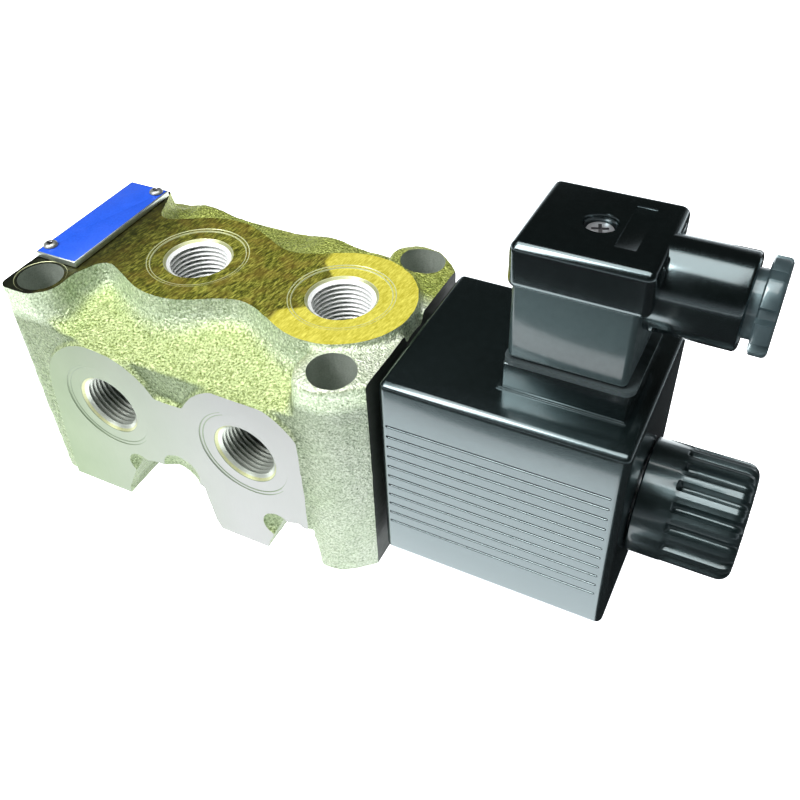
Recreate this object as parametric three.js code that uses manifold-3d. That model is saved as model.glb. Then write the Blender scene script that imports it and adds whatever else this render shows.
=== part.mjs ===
// Solenoid directional valve: a six-port spool valve in a cast-iron body, with one coil, a cable
// connector on the coil and a spring at the far end. Millimetres. X runs along the spool axis
// towards the coil, Z is up, and the origin is the centre of the body's underside.
import * as THREE from 'three';
import { mergeVertices } from 'three/addons/utils/BufferGeometryUtils.js';
import Module from 'manifold-3d';

const wasm = await Module();
wasm.setup();

// ---- driving dimensions ----
const BODY_LENGTH = 100;
const BODY_WIDTH = 64;
const BODY_HEIGHT = 64;
const CAST_INSET = 0.8;           // the machined side pads stand this far proud of the casting
const AXIS_Z = 30.45;             // height of the spool axis

const PORT_PITCH = 42.1;          // first to second port of each face
const PORT_STEP = 11.7;           // back port to front port to top port, along the spool
const FIRST_TOP_PORT_X = -11.3;
const SIDE_PORT_Z = 34.35;
const THREAD_RADIUS = 7.7;        // G 3/8 taken at the middle of its thread
const MOUTH_RADIUS = 8.87;
const SPOTFACE_RADIUS = 13.23;
const SPOTFACE_DEPTH = 0.5;
const THREAD_DEPTH = 13;
const CORE_RADIUS = 4.6;

const BOLT_SPACING_X = 84;
const BOLT_SPACING_Y = 47;
const BOLT_X = 41.2;              // the pair of holes next to the coil
const BOLT_RADIUS = 5.75;

const BORE_RADIUS = 8.05;
const SPOOL_RADIUS = 7.95;
const SPOOL_NECK_RADIUS = 4.8;
const GROOVE_RADIUS = 10.6;
const GROOVE_WIDTH = 5;

const COIL_GAP = 1.9;             // between the body's end face and the coil
const COIL_LENGTH = 56.5;
const COIL_WIDTH = 46;
const COIL_BELOW = 24.1;          // below the spool axis
const COIL_ABOVE = 31.9;          // above the spool axis
const RIB_GROOVES = 11;
const RIB_PITCH = 3.22;

const TUBE_RADIUS = 9.3;
const CORE_BORE = 7.15;
const NUT_RADIUS = 13.8;
const NUT_LENGTH = 23.4;
const NUT_FLUTES = 17;

const PLUG_WIDTH = 27.5;
const PLUG_CENTRE = 38.7;         // from the coil's face next to the body
const PLUG_TOP = 68.5;            // above the spool axis
const GLAND_RADIUS = 9.75;
const GLAND_Z = 58.6;             // above the spool axis

const FIT = 0.1;                  // gap where two pieces fit or touch

const ROUND = 32;
const MEDIUM = 24;
const COARSE = 20;

const END = BODY_LENGTH / 2;
const COIL_X = END + COIL_GAP;
const TOP_PORTS = [FIRST_TOP_PORT_X, FIRST_TOP_PORT_X + PORT_PITCH];
const FRONT_PORTS = TOP_PORTS.map((x) => x - PORT_STEP);
const BACK_PORTS = FRONT_PORTS.map((x) => x - PORT_STEP);

// ---- solids ----
function solid(geometry) {
  const bare = geometry.clone();
  bare.deleteAttribute('normal');
  bare.deleteAttribute('uv');
  const merged = mergeVertices(bare, 1e-4);
  const place = merged.attributes.position.array;
  const kept = [];
  const index = merged.index.array;
  for (let i = 0; i < index.length; i += 3) {
    const [a, b, c] = [index[i], index[i + 1], index[i + 2]];
    if (a !== b && b !== c && c !== a) kept.push(a, b, c);
  }
  if (signedVolume(place, kept) < 0) kept.reverse();
  return new wasm.Manifold(new wasm.Mesh({
    numProp: 3,
    vertProperties: new Float32Array(place),
    triVerts: new Uint32Array(kept),
  }));
}

function signedVolume(place, index) {
  const corner = (i) => new THREE.Vector3().fromArray(place, 3 * i);
  let sum = 0;
  for (let i = 0; i < index.length; i += 3) {
    const normal = corner(index[i + 1]).cross(corner(index[i + 2]));
    sum += corner(index[i]).dot(normal);
  }
  return sum;
}

function geometryOf(manifold) {
  const { vertProperties, triVerts } = manifold.getMesh();
  const geometry = new THREE.BufferGeometry();
  geometry.setAttribute('position', new THREE.BufferAttribute(new Float32Array(vertProperties), 3));
  geometry.setIndex(new THREE.BufferAttribute(new Uint32Array(triVerts), 1));
  const flat = geometry.toNonIndexed();
  flat.computeVertexNormals();
  return flat;
}

const join = (solids) => solids.reduce((all, next) => all.add(next));
const cut = (from, tools) => tools.reduce((left, tool) => left.subtract(tool), from);

function box([x0, x1], [y0, y1], [z0, z1]) {
  const block = new THREE.BoxGeometry(x1 - x0, y1 - y0, z1 - z0);
  block.translate((x0 + x1) / 2, (y0 + y1) / 2, (z0 + z1) / 2);
  return solid(block);
}

// A profile is a list of [distance along the axis, radius]. A ring's profile closes on itself.
function lathe(profile, segments) {
  return new THREE.LatheGeometry(profile.map(([along, r]) => new THREE.Vector2(r, along)), segments);
}

function latheX(profile, [y, z] = [0, AXIS_Z], segments = ROUND) {
  return solid(lathe(profile, segments).rotateZ(-Math.PI / 2).translate(0, y, z));
}

function latheY(profile, [x, z], segments = MEDIUM) {
  return solid(lathe(profile, segments).translate(x, 0, z));
}

function latheZ(profile, [x, y], segments = MEDIUM) {
  return solid(lathe(profile, segments).rotateX(Math.PI / 2).translate(x, y, 0));
}

const rod = ([from, to], r) => [[from, 0], [from, r], [to, r], [to, 0]];

const ring = ([from, to], inner, outer) => (
  [[from, inner], [from, outer], [to, outer], [to, inner], [from, inner]]
);

function torusX(x, radius, thickness) {
  const turn = new THREE.TorusGeometry(radius, thickness, 6, MEDIUM).rotateY(Math.PI / 2);
  return solid(turn.translate(x, 0, AXIS_Z));
}

function shapeOf(points) {
  return new THREE.Shape(points.map(([a, b]) => new THREE.Vector2(a, b)));
}

function extrudeZ(shape, [z0, z1]) {
  const options = { depth: z1 - z0, bevelEnabled: false, curveSegments: 4 };
  return solid(new THREE.ExtrudeGeometry(shape, options).translate(0, 0, z0));
}

// The outline is in X and Z, pushed along Y.
function extrudeY(shape, [y0, y1]) {
  const options = { depth: y1 - y0, bevelEnabled: false, curveSegments: 6 };
  return solid(new THREE.ExtrudeGeometry(shape, options).rotateX(Math.PI / 2).translate(0, y1, 0));
}

// The outline is in Y and Z, pushed along X, with its end edges rounded off by bevel.
function extrudeX(shape, [x0, x1], bevel = 0) {
  const geometry = new THREE.ExtrudeGeometry(shape, {
    depth: x1 - x0 - 2 * bevel,
    bevelEnabled: bevel > 0,
    bevelSize: bevel,
    bevelThickness: bevel,
    bevelOffset: -bevel,
    bevelSegments: 2,
    curveSegments: 3,
  });
  return solid(geometry.rotateX(Math.PI / 2).rotateZ(Math.PI / 2).translate(x0 + bevel, 0, 0));
}

function roundedRectangle([a0, a1], [b0, b1], r) {
  const shape = new THREE.Shape();
  shape.moveTo(a0 + r, b0);
  shape.lineTo(a1 - r, b0);
  shape.absarc(a1 - r, b0 + r, r, -Math.PI / 2, 0);
  shape.lineTo(a1, b1 - r);
  shape.absarc(a1 - r, b1 - r, r, 0, Math.PI / 2);
  shape.lineTo(a0 + r, b1);
  shape.absarc(a0 + r, b1 - r, r, Math.PI / 2, Math.PI);
  shape.lineTo(a0, b0 + r);
  shape.absarc(a0 + r, b0 + r, r, Math.PI, 1.5 * Math.PI);
  return shape;
}

// ---- materials ----
const material = (color, roughness, metalness) => (
  new THREE.MeshStandardMaterial({ color, roughness, metalness })
);
const castIron = material(0xc9cdb4, 0.45, 0.85);
const steel = material(0xb9bcc0, 0.3, 0.95);
const darkSteel = material(0x6f7276, 0.45, 0.85);
const brass = material(0xc8a24a, 0.35, 0.9);
const copper = material(0xb0643a, 0.45, 0.8);
const coilPlastic = material(0x16181c, 0.35, 0.0);
const plugPlastic = material(0x0c0d0f, 0.28, 0.0);
const innerPlastic = material(0x3a3d42, 0.5, 0.0);
const rubber = material(0x111111, 0.8, 0.0);
const plateBlue = material(0x2a55e0, 0.35, 0.4);

const model = new THREE.Group();

function node(name, manifold, surface, parent = model) {
  const mesh = new THREE.Mesh(geometryOf(manifold), surface);
  mesh.name = name;
  parent.add(mesh);
  return mesh;
}

// ---- the cast body ----
const SHOULDER_Z = 52;            // top of the upright front and back walls
const NECK_HALF = 12;             // half width of the flat top between the port bosses
const BOSS_RADIUS = 18.4;
const BOSS_FOOT_RADIUS = 27;
const SIDE_BOSS_RADIUS = 19;
const COLUMN_TOP = 62.2;
const COLUMN_RADIUS = 9.8;
const END_BLOCK_X = -36.1;
const SOCKET_RADIUS = 12;         // for the core tube
const SOCKET_DEPTH = 12.3;
const CHAMBER_RADIUS = 11;        // for the end plug
const CHAMBER_DEPTH = 8.4;
const SEAL_SEAT_DEPTH = 1.8;      // recess for the O-ring at each end of the bore
const PLUG_SEAL_SEAT = 13.6;
const TUBE_SEAL_SEAT = 14.2;

function planOutline() {
  const left = -END;
  const half = BODY_WIDTH / 2 - CAST_INSET;
  const corner = 5;
  const chamfer = 7;
  const shape = new THREE.Shape();
  shape.moveTo(left + corner, -half);
  shape.lineTo(END - chamfer, -half);
  shape.lineTo(END, -half + chamfer);
  shape.lineTo(END, half - chamfer);
  shape.lineTo(END - chamfer, half);
  shape.lineTo(left + corner, half);
  shape.absarc(left + corner, half - corner, corner, Math.PI / 2, Math.PI);
  shape.lineTo(left, -half + corner);
  shape.absarc(left + corner, -half + corner, corner, Math.PI, 1.5 * Math.PI);
  return shape;
}

function casting() {
  const half = BODY_WIDTH / 2 - CAST_INSET;
  const block = extrudeZ(planOutline(), [0, BODY_HEIGHT]);
  const walls = extrudeZ(planOutline(), [0, SHOULDER_Z]);
  const slope = [
    [-half, SHOULDER_Z - 12],
    [half, SHOULDER_Z - 12],
    [half, SHOULDER_Z],
    [NECK_HALF, BODY_HEIGHT],
    [-NECK_HALF, BODY_HEIGHT],
    [-half, SHOULDER_Z],
  ];
  const shoulder = extrudeX(shapeOf(slope), [END_BLOCK_X - 2, END - 1]);
  const bossCone = [
    [SHOULDER_Z - 10, 0],
    [SHOULDER_Z - 10, BOSS_FOOT_RADIUS],
    [SHOULDER_Z, BOSS_FOOT_RADIUS],
    [BODY_HEIGHT, BOSS_RADIUS],
    [BODY_HEIGHT, 0],
  ];
  const bosses = TOP_PORTS.map((x) => latheZ(bossCone, [x, 0]));
  const columns = [-1, 1].map((side) => (
    latheZ(rod([0, COLUMN_TOP], COLUMN_RADIUS), [BOLT_X, side * BOLT_SPACING_Y / 2])
  ));
  const endBlock = cut(block, [
    box([END_BLOCK_X, END + 1], [-half - 1, half + 1], [0, BODY_HEIGHT + 1]),
    backCornerSlope(),
  ]);
  const upper = join([shoulder, ...bosses, ...columns]).intersect(block);
  const pads = join(sidePads()).intersect(box([-END, END], [-END, END], [0, BODY_HEIGHT]));
  return join([walls, upper, endBlock, pads]);
}

// The corner behind the nameplate falls away, since it has no bolt hole.
function backCornerSlope() {
  const wedge = shapeOf([[23, BODY_HEIGHT + 1], [24, BODY_HEIGHT], [33, 57], [33, BODY_HEIGHT + 1]]);
  return extrudeX(wedge, [-END - 1, END_BLOCK_X + 1]);
}

function sidePads() {
  const bossDepth = 16;
  const webDepth = 4;
  const pads = [];
  for (const [side, ports] of [[-1, FRONT_PORTS], [1, BACK_PORTS]]) {
    for (const x of ports) {
      pads.push(latheY(rod(fromSideFace(side, bossDepth), SIDE_BOSS_RADIUS), [x, SIDE_PORT_Z]));
    }
    const reach = [ports[0] - SIDE_BOSS_RADIUS + 1, Math.min(ports[1] + SIDE_BOSS_RADIUS - 2, END - 8)];
    pads.push(box(reach, fromSideFace(side, webDepth), [0, SIDE_PORT_Z]));
  }
  return pads;
}

// The stretch of Y from a side face inwards: side is -1 at the front and 1 at the back.
function fromSideFace(side, depth) {
  const face = BODY_WIDTH / 2;
  return side < 0 ? [-face, -face + depth] : [face - depth, face];
}

// The underside is hollowed out from the front and the back between its three feet.
function undersidePockets() {
  const wide = shapeOf([[-25.8, -1], [-24.5, 3], [-17.8, 16.6], [-11.7, 18.4], [-5.7, 18.4], [3.3, 15.2],
    [4.7, 3], [7.4, -1]]);
  const narrow = shapeOf([[20, -1], [22, 3.2], [27.2, 13.4], [32.4, 15], [35, 12], [36.7, -1]]);
  const inner = 16;
  const outer = BODY_WIDTH / 2 + 1;
  const wall = BOLT_RADIUS + 1.5;
  return [wide, narrow].flatMap((outline) => [-1, 1].map((side) => {
    const pocket = extrudeY(outline, side < 0 ? [-outer, -inner] : [inner, outer]);
    return pocket.subtract(latheZ(rod([-2, SHOULDER_Z], wall), [BOLT_X, side * BOLT_SPACING_Y / 2]));
  }));
}

// A port, from just outside its face to the spool bore, as distances above the spool axis.
function portProfile(face) {
  const floor = face - SPOTFACE_DEPTH;
  const chamfer = MOUTH_RADIUS - THREAD_RADIUS;
  return [
    [BORE_RADIUS - 4, 0],
    [BORE_RADIUS - 4, CORE_RADIUS],
    [floor - THREAD_DEPTH - 2, CORE_RADIUS],
    [floor - THREAD_DEPTH, THREAD_RADIUS],
    [floor - chamfer, THREAD_RADIUS],
    [floor, MOUTH_RADIUS],
    [floor, SPOTFACE_RADIUS],
    [face + 1, SPOTFACE_RADIUS],
    [face + 1, 0],
  ];
}

function ports() {
  const top = portProfile(BODY_HEIGHT - AXIS_Z).map(([along, r]) => [along + AXIS_Z, r]);
  const back = portProfile(BODY_WIDTH / 2);
  const front = back.map(([along, r]) => [-along, r]);
  return [
    ...TOP_PORTS.map((x) => latheZ(top, [x, 0])),
    ...FRONT_PORTS.map((x) => latheY(front, [x, SIDE_PORT_Z])),
    ...BACK_PORTS.map((x) => latheY(back, [x, SIDE_PORT_Z])),
  ];
}

function boltHoles() {
  const half = BOLT_SPACING_Y / 2;
  const places = [[BOLT_X, -half], [BOLT_X, half], [BOLT_X - BOLT_SPACING_X, -half]];
  return places.map((place) => latheZ(rod([-1, BODY_HEIGHT + 1], BOLT_RADIUS), place));
}

// The spool bore, with a ring groove at each port, the end plug's thread and the tube's socket.
function spoolBore() {
  const profile = [
    [-END - 1, 0],
    [-END - 1, PLUG_SEAL_SEAT],
    [-END + SEAL_SEAT_DEPTH, PLUG_SEAL_SEAT],
    [-END + SEAL_SEAT_DEPTH, CHAMBER_RADIUS],
    [-END + CHAMBER_DEPTH, CHAMBER_RADIUS],
    [-END + CHAMBER_DEPTH, BORE_RADIUS],
  ];
  const grooves = [...TOP_PORTS, ...FRONT_PORTS, ...BACK_PORTS].sort((a, b) => a - b);
  for (const x of grooves) {
    profile.push([x - GROOVE_WIDTH / 2, BORE_RADIUS], [x - GROOVE_WIDTH / 2, GROOVE_RADIUS]);
    profile.push([x + GROOVE_WIDTH / 2, GROOVE_RADIUS], [x + GROOVE_WIDTH / 2, BORE_RADIUS]);
  }
  profile.push(
    [END - SOCKET_DEPTH, BORE_RADIUS],
    [END - SOCKET_DEPTH, SOCKET_RADIUS],
    [END - SEAL_SEAT_DEPTH, SOCKET_RADIUS],
    [END - SEAL_SEAT_DEPTH, TUBE_SEAL_SEAT],
    [END + 1, TUBE_SEAL_SEAT],
    [END + 1, 0],
  );
  return latheX(profile);
}

// ---- nameplate and its drive rivets ----
const PLATE_X = [-49.5, -36.6];
const PLATE_Y = [-17.2, 21.7];
const PLATE_THICKNESS = 1.8;
const RIVETS = { front: [-47.6, -13.6], back: [-39, 19.4] };
const RIVET_SHANK = 1.2;
const RIVET_HEAD = 1.9;
const RIVET_LENGTH = 5;

const rivetHoles = () => Object.values(RIVETS).map((place) => (
  latheZ(rod([BODY_HEIGHT - RIVET_LENGTH - FIT, BODY_HEIGHT + 5], RIVET_SHANK + FIT), place, 12)
));

function addNameplate() {
  const top = BODY_HEIGHT + FIT + PLATE_THICKNESS;
  const outline = roundedRectangle(PLATE_X, PLATE_Y, 0.8);
  node('nameplate', cut(extrudeZ(outline, [BODY_HEIGHT + FIT, top]), rivetHoles()), plateBlue);
  const profile = [
    [BODY_HEIGHT - RIVET_LENGTH, 0],
    [BODY_HEIGHT - RIVET_LENGTH, RIVET_SHANK],
    [top + FIT, RIVET_SHANK],
    [top + FIT, RIVET_HEAD],
    [top + FIT + 0.4, RIVET_HEAD - 0.2],
    [top + FIT + 0.8, RIVET_HEAD * 0.6],
    [top + FIT + 0.9, 0],
  ];
  for (const [name, place] of Object.entries(RIVETS)) {
    node(`plate_rivet_${name}`, latheZ(profile, place, 16), steel);
  }
}

function addBody() {
  const tools = [...undersidePockets(), ...ports(), ...boltHoles(), spoolBore(), ...rivetHoles()];
  node('valve_body', cut(casting(), tools), castIron);
}

// ---- spool, return spring and end plug ----
const SPOOL_RIGHT = END - SOCKET_DEPTH - 0.4;
const SPOOL_LEFT = BACK_PORTS[0] - 6;
const PLUG_HEAD = 6.3;
const PLUG_HEX_RADIUS = 15.5;     // to the corners
const PLUG_BORE = 7.2;
const PLUG_BOTTOM_X = -END - 3.2;
const SEAT_THICKNESS = 1.3;
const WIRE_RADIUS = 0.6;
const SPRING_RADIUS = 5.4;
const SPRING_TURNS = 4.5;

// Each land stops short of the ring grooves that it opens, and covers those that it closes.
function spoolProfile() {
  const [first, second] = BACK_PORTS;
  const land = 5;
  const profile = [[SPOOL_LEFT, 0], [SPOOL_LEFT, SPOOL_RADIUS]];
  const necks = [
    [first + land, FRONT_PORTS[0] + PORT_STEP - 1.5],
    [second + land, FRONT_PORTS[1] + PORT_STEP - 1.5],
  ];
  for (const [from, to] of necks) {
    profile.push([from, SPOOL_RADIUS], [from, SPOOL_NECK_RADIUS]);
    profile.push([to, SPOOL_NECK_RADIUS], [to, SPOOL_RADIUS]);
  }
  profile.push([SPOOL_RIGHT, SPOOL_RADIUS], [SPOOL_RIGHT, 0]);
  return profile;
}

function springSolid([from, to]) {
  const reach = to - from - 2 * WIRE_RADIUS;
  class Helix extends THREE.Curve {
    getPoint(t, target = new THREE.Vector3()) {
      const angle = 2 * Math.PI * SPRING_TURNS * t;
      const y = SPRING_RADIUS * Math.cos(angle);
      const z = AXIS_Z + SPRING_RADIUS * Math.sin(angle);
      return target.set(from + WIRE_RADIUS + reach * t, y, z);
    }
  }
  const section = new THREE.Shape().absarc(0, 0, WIRE_RADIUS, 0, 2 * Math.PI);
  const steps = Math.round(SPRING_TURNS * 11);
  const options = { steps, extrudePath: new Helix(), bevelEnabled: false, curveSegments: 5 };
  return solid(new THREE.ExtrudeGeometry(section, options));
}

function endPlug() {
  const inner = -END + CHAMBER_DEPTH - 2.9;
  const hex = new THREE.CylinderGeometry(PLUG_HEX_RADIUS, PLUG_HEX_RADIUS, PLUG_HEAD, 6).rotateZ(Math.PI / 2);
  const head = solid(hex.translate(-END - 0.3 - PLUG_HEAD / 2, 0, AXIS_Z));
  const shank = latheX(rod([-END - 2, inner], CHAMBER_RADIUS - FIT));
  const hollow = latheX(rod([PLUG_BOTTOM_X, inner + 1], PLUG_BORE));
  return head.add(shank).subtract(hollow);
}

function addSpool() {
  const seat = [SPOOL_LEFT - FIT - SEAT_THICKNESS, SPOOL_LEFT - FIT];
  node('spool', latheX(spoolProfile(), [0, AXIS_Z], COARSE), steel);
  node('spring_seat', latheX(ring(seat, 2.2, PLUG_BORE - 0.4), [0, AXIS_Z], COARSE), steel);
  node('return_spring', springSolid([PLUG_BOTTOM_X + FIT, seat[0] - FIT]), steel);
  node('end_plug', endPlug(), steel);
  node('end_plug_oring', torusX(-END + 0.7, 12.3, 0.85), rubber);
}

// ---- core tube, armature and manual override ----
const TUBE_THREAD_START = COIL_X + COIL_LENGTH + 1;
const TUBE_THREAD_END = COIL_X + COIL_LENGTH + 18.5;
const CHAMBER_END = COIL_X + 66;
const ARMATURE = [COIL_X + 28, COIL_X + 62];
const POLE = [END - SOCKET_DEPTH + 0.3, COIL_X + 24];
const PIN_RADIUS = 1.9;
const OVERRIDE_RADIUS = 2.4;

function addCoreTube() {
  const left = END - SOCKET_DEPTH + 0.3;
  const profile = [
    [left, CORE_BORE],
    [left, SOCKET_RADIUS - FIT],
    [END - 0.3, SOCKET_RADIUS - FIT],
    [END - 0.3, TUBE_RADIUS],
    [TUBE_THREAD_START, TUBE_RADIUS],
    [TUBE_THREAD_START + 0.5, TUBE_RADIUS - 0.5],
    [TUBE_THREAD_END, TUBE_RADIUS - 0.5],
    [TUBE_THREAD_END, OVERRIDE_RADIUS + FIT],
    [CHAMBER_END, OVERRIDE_RADIUS + FIT],
    [CHAMBER_END, CORE_BORE],
    [left, CORE_BORE],
  ];
  node('core_tube', latheX(profile), steel);
  node('core_tube_oring', torusX(END - 0.9, 13.05, 0.8), rubber);
  node('pole_core', latheX(ring(POLE, PIN_RADIUS + 0.3, CORE_BORE - FIT), [0, AXIS_Z], COARSE), darkSteel);
}

function addArmature() {
  const pin = [SPOOL_RIGHT + FIT, ARMATURE[0] - FIT];
  node('push_pin', latheX(rod(pin, PIN_RADIUS), [0, AXIS_Z], 16), steel);
  node('armature', latheX(rod(ARMATURE, CORE_BORE - FIT), [0, AXIS_Z], COARSE), darkSteel);
  const tip = ARMATURE[1] + FIT;
  const profile = [
    [tip, 0],
    [tip, 4],
    [tip + 2, 4],
    [tip + 2, OVERRIDE_RADIUS],
    [TUBE_THREAD_END + 1, OVERRIDE_RADIUS],
    [TUBE_THREAD_END + 1.4, OVERRIDE_RADIUS - 0.4],
    [TUBE_THREAD_END + 1.4, 0],
  ];
  node('override_pin', latheX(profile, [0, AXIS_Z], 16), brass);
}

// ---- coil ----
const CAVITY_RADIUS = 20.3;
const CAVITY_END = COIL_X + 53.6;
const RIB_SPAN = [1.75, 53.9];
const RIB_FIRST = 19.6;           // top groove, above the spool axis
const RIB_DEPTH = 0.5;
const RIB_HEIGHT = 1;
const PEDESTAL = { x: [24, 53.6], half: 13.4, top: 38.9, corner: 3 };
const BLADE_REACH = 9;            // from the connector's screw to each blade
const BLADE = { wide: 6.3, thick: 0.8, bottom: 24, top: 50 };
const INSERT = { radius: 2.3, bottom: 33, top: 38.5 };
const SCREW_RADIUS = 1.45;

const above = (z) => AXIS_Z + z;
const along = (x) => COIL_X + x;
const span = ([from, to]) => [along(from), along(to)];
const level = ([from, to]) => [above(from), above(to)];

// The two power blades stand side by side, and the earth blade is nearer the body.
const BLADES = {
  terminal_blade_1: { x: PLUG_CENTRE, y: -BLADE_REACH, turned: false },
  terminal_blade_2: { x: PLUG_CENTRE, y: BLADE_REACH, turned: false },
  earth_blade: { x: PLUG_CENTRE - BLADE_REACH, y: 0, turned: true },
};

function bladeSolid({ x, y, turned }, [z0, z1], room = 0) {
  const half = [BLADE.wide / 2 + room, BLADE.thick / 2 + room];
  const [dx, dy] = turned ? [half[1], half[0]] : half;
  return box([along(x) - dx, along(x) + dx], [y - dy, y + dy], level([z0, z1]));
}

function ribGrooves() {
  const tools = [];
  for (let i = 0; i < RIB_GROOVES; i += 1) {
    const z = RIB_FIRST - i * RIB_PITCH;
    const height = level([z - RIB_HEIGHT / 2, z + RIB_HEIGHT / 2]);
    const face = COIL_WIDTH / 2;
    tools.push(box(span(RIB_SPAN), [-face - 1, -face + RIB_DEPTH], height));
    tools.push(box(span(RIB_SPAN), [face - RIB_DEPTH, face + 1], height));
  }
  return tools;
}

function coilHousing() {
  const half = COIL_WIDTH / 2;
  const outline = roundedRectangle([-half, half], level([-COIL_BELOW, COIL_ABOVE]), 2);
  const shell = extrudeX(outline, span([0, COIL_LENGTH]), 1.2);
  const { x, half: wide, top, corner } = PEDESTAL;
  const pedestal = extrudeZ(roundedRectangle(span(x), [-wide, wide], corner), level([COIL_ABOVE - 2, top]));
  const tools = [
    latheX(rod([COIL_X - 1, CAVITY_END], CAVITY_RADIUS)),
    latheX(rod([CAVITY_END - 1, COIL_X + COIL_LENGTH + 1], TUBE_RADIUS + 0.3)),
    latheZ(rod(level([INSERT.bottom - FIT, top + 1]), INSERT.radius + FIT), [along(PLUG_CENTRE), 0], 16),
    ...Object.values(BLADES).map((blade) => bladeSolid(blade, [BLADE.bottom - FIT, top + 1], FIT)),
    ...ribGrooves(),
  ];
  return cut(shell.add(pedestal), tools);
}

function addCoil() {
  node('coil_housing', coilHousing(), coilPlastic);
  const plate = (range) => latheX(ring(span(range), TUBE_RADIUS + 0.3, 20));
  node('yoke_plate_front', plate([0.3, 2.7]), darkSteel);
  node('yoke_plate_back', plate([50.9, 53.3]), darkSteel);
  node('yoke_ring', latheX(ring(span([2.9, 50.7]), 17.2, 20)), darkSteel);
  const [left, right] = span([3.2, 50.4]);
  const hub = TUBE_RADIUS + 0.4;
  const flange = 16.9;
  const bobbin = [
    [left, hub],
    [left, flange],
    [left + 1.5, flange],
    [left + 1.5, hub + 1.2],
    [right - 1.5, hub + 1.2],
    [right - 1.5, flange],
    [right, flange],
    [right, hub],
    [left, hub],
  ];
  node('coil_bobbin', latheX(bobbin, [0, AXIS_Z], COARSE), innerPlastic);
  const wound = ring([left + 1.8, right - 1.8], hub + 1.5, flange - 0.4);
  node('coil_winding', latheX(wound, [0, AXIS_Z], COARSE), copper);
  node('coil_seal_ring', latheX(ring([END + FIT, COIL_X - 0.2], TUBE_RADIUS + 0.3, 15.5)), rubber);
  for (const [name, place] of Object.entries(BLADES)) {
    node(name, bladeSolid(place, [BLADE.bottom, BLADE.top]), brass);
  }
  const insert = ring(level([INSERT.bottom, INSERT.top]), SCREW_RADIUS + FIT, INSERT.radius);
  node('screw_insert', latheZ(insert, [along(PLUG_CENTRE), 0], 16), brass);
}

// ---- coil nut ----
const NUT_START = 0.4;            // gap to the coil's end face
const FLUTE_START = 7.8;
const FLUTE_WIDTH = 2.3;
const FLUTE_DEPTH = 1.3;
const NUT_SEAL = { inner: 10.4, outer: 12.6, depth: 1.7, wire: 0.8 };
const NUT_MOUTH_RADIUS = 4.2;     // hole over the manual override pin

function coilNut() {
  const from = COIL_X + COIL_LENGTH + NUT_START;
  const to = from + NUT_LENGTH;
  const wall = TUBE_THREAD_END + 0.6;
  const profile = [
    [from, TUBE_RADIUS + 0.2],
    [from, NUT_SEAL.inner],
    [from + NUT_SEAL.depth, NUT_SEAL.inner],
    [from + NUT_SEAL.depth, NUT_SEAL.outer],
    [from, NUT_SEAL.outer],
    [from, NUT_RADIUS],
    [to - 2.6, NUT_RADIUS],
    [to - 1, NUT_RADIUS - 0.9],
    [to, NUT_RADIUS - 2.5],
    [to, NUT_MOUTH_RADIUS],
    [wall, NUT_MOUTH_RADIUS],
    [wall, TUBE_RADIUS + 0.2],
    [from, TUBE_RADIUS + 0.2],
  ];
  const blank = latheX(profile, [0, AXIS_Z], 2 * NUT_FLUTES);
  const flutes = [];
  for (let i = 0; i < NUT_FLUTES; i += 1) {
    const bar = new THREE.BoxGeometry(NUT_LENGTH, FLUTE_WIDTH, 2 * FLUTE_DEPTH);
    bar.translate(from + FLUTE_START + NUT_LENGTH / 2, 0, NUT_RADIUS);
    bar.rotateX(2 * Math.PI * (i + 0.5) / NUT_FLUTES).translate(0, 0, AXIS_Z);
    flutes.push(solid(bar));
  }
  return cut(blank, flutes);
}

function addCoilNut() {
  node('coil_nut', coilNut(), plugPlastic);
  const radius = (NUT_SEAL.inner + NUT_SEAL.outer) / 2;
  node('coil_nut_oring', torusX(along(COIL_LENGTH + NUT_START + 0.7), radius, NUT_SEAL.wire), rubber);
}

// ---- cable connector ----
const CAP = { x: [25.35, 52.6], bottom: 58.7, corner: 2.5 };
const STEM = { x: [26.3, 52], half: 13, bottom: 40.4, corner: 2 };
const HOLLOW = { x: [28.2, 50], half: 11.2, top: 62.5 };
const SCREW_SEAT = 64;
const SCREW_HEAD_RADIUS = 2.9;
const GLAND = { end: 68.7, straight: 67.2, mouth: 8.2, bore: 7.3, step: 54.7, passage: 6 };
const CABLE_HOLE = 4.3;

function connectorHousing() {
  const half = PLUG_WIDTH / 2;
  const capOutline = roundedRectangle(span(CAP.x), [-half, half], CAP.corner);
  const cap = extrudeZ(capOutline, level([CAP.bottom, PLUG_TOP]));
  const stem = extrudeZ(
    roundedRectangle(span(STEM.x), [-STEM.half, STEM.half], STEM.corner),
    level([STEM.bottom, CAP.bottom + 1]),
  );
  const centre = [0, above(GLAND_Z)];
  const barrel = latheX([
    [along(STEM.x[1] - 4), 0],
    [along(STEM.x[1] - 4), GLAND_RADIUS],
    [along(GLAND.straight), GLAND_RADIUS],
    [along(GLAND.end), GLAND.mouth],
    [along(GLAND.end), 0],
  ], centre);
  const tools = [
    box(span(HOLLOW.x), [-HOLLOW.half, HOLLOW.half], level([STEM.bottom - 1, HOLLOW.top])),
    latheX(rod(span([HOLLOW.x[1] - 2, GLAND.step + 1]), GLAND.passage), centre),
    latheX(rod(span([GLAND.step, GLAND.end + 1]), GLAND.bore), centre),
    latheZ(rod(level([HOLLOW.top - 1, PLUG_TOP]), SCREW_RADIUS + 0.25), [along(PLUG_CENTRE), 0], 16),
    latheZ(rod(level([SCREW_SEAT, PLUG_TOP + 1]), SCREW_HEAD_RADIUS + 0.4), [along(PLUG_CENTRE), 0], 24),
  ];
  return cut(join([cap, stem, barrel]), tools);
}

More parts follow.
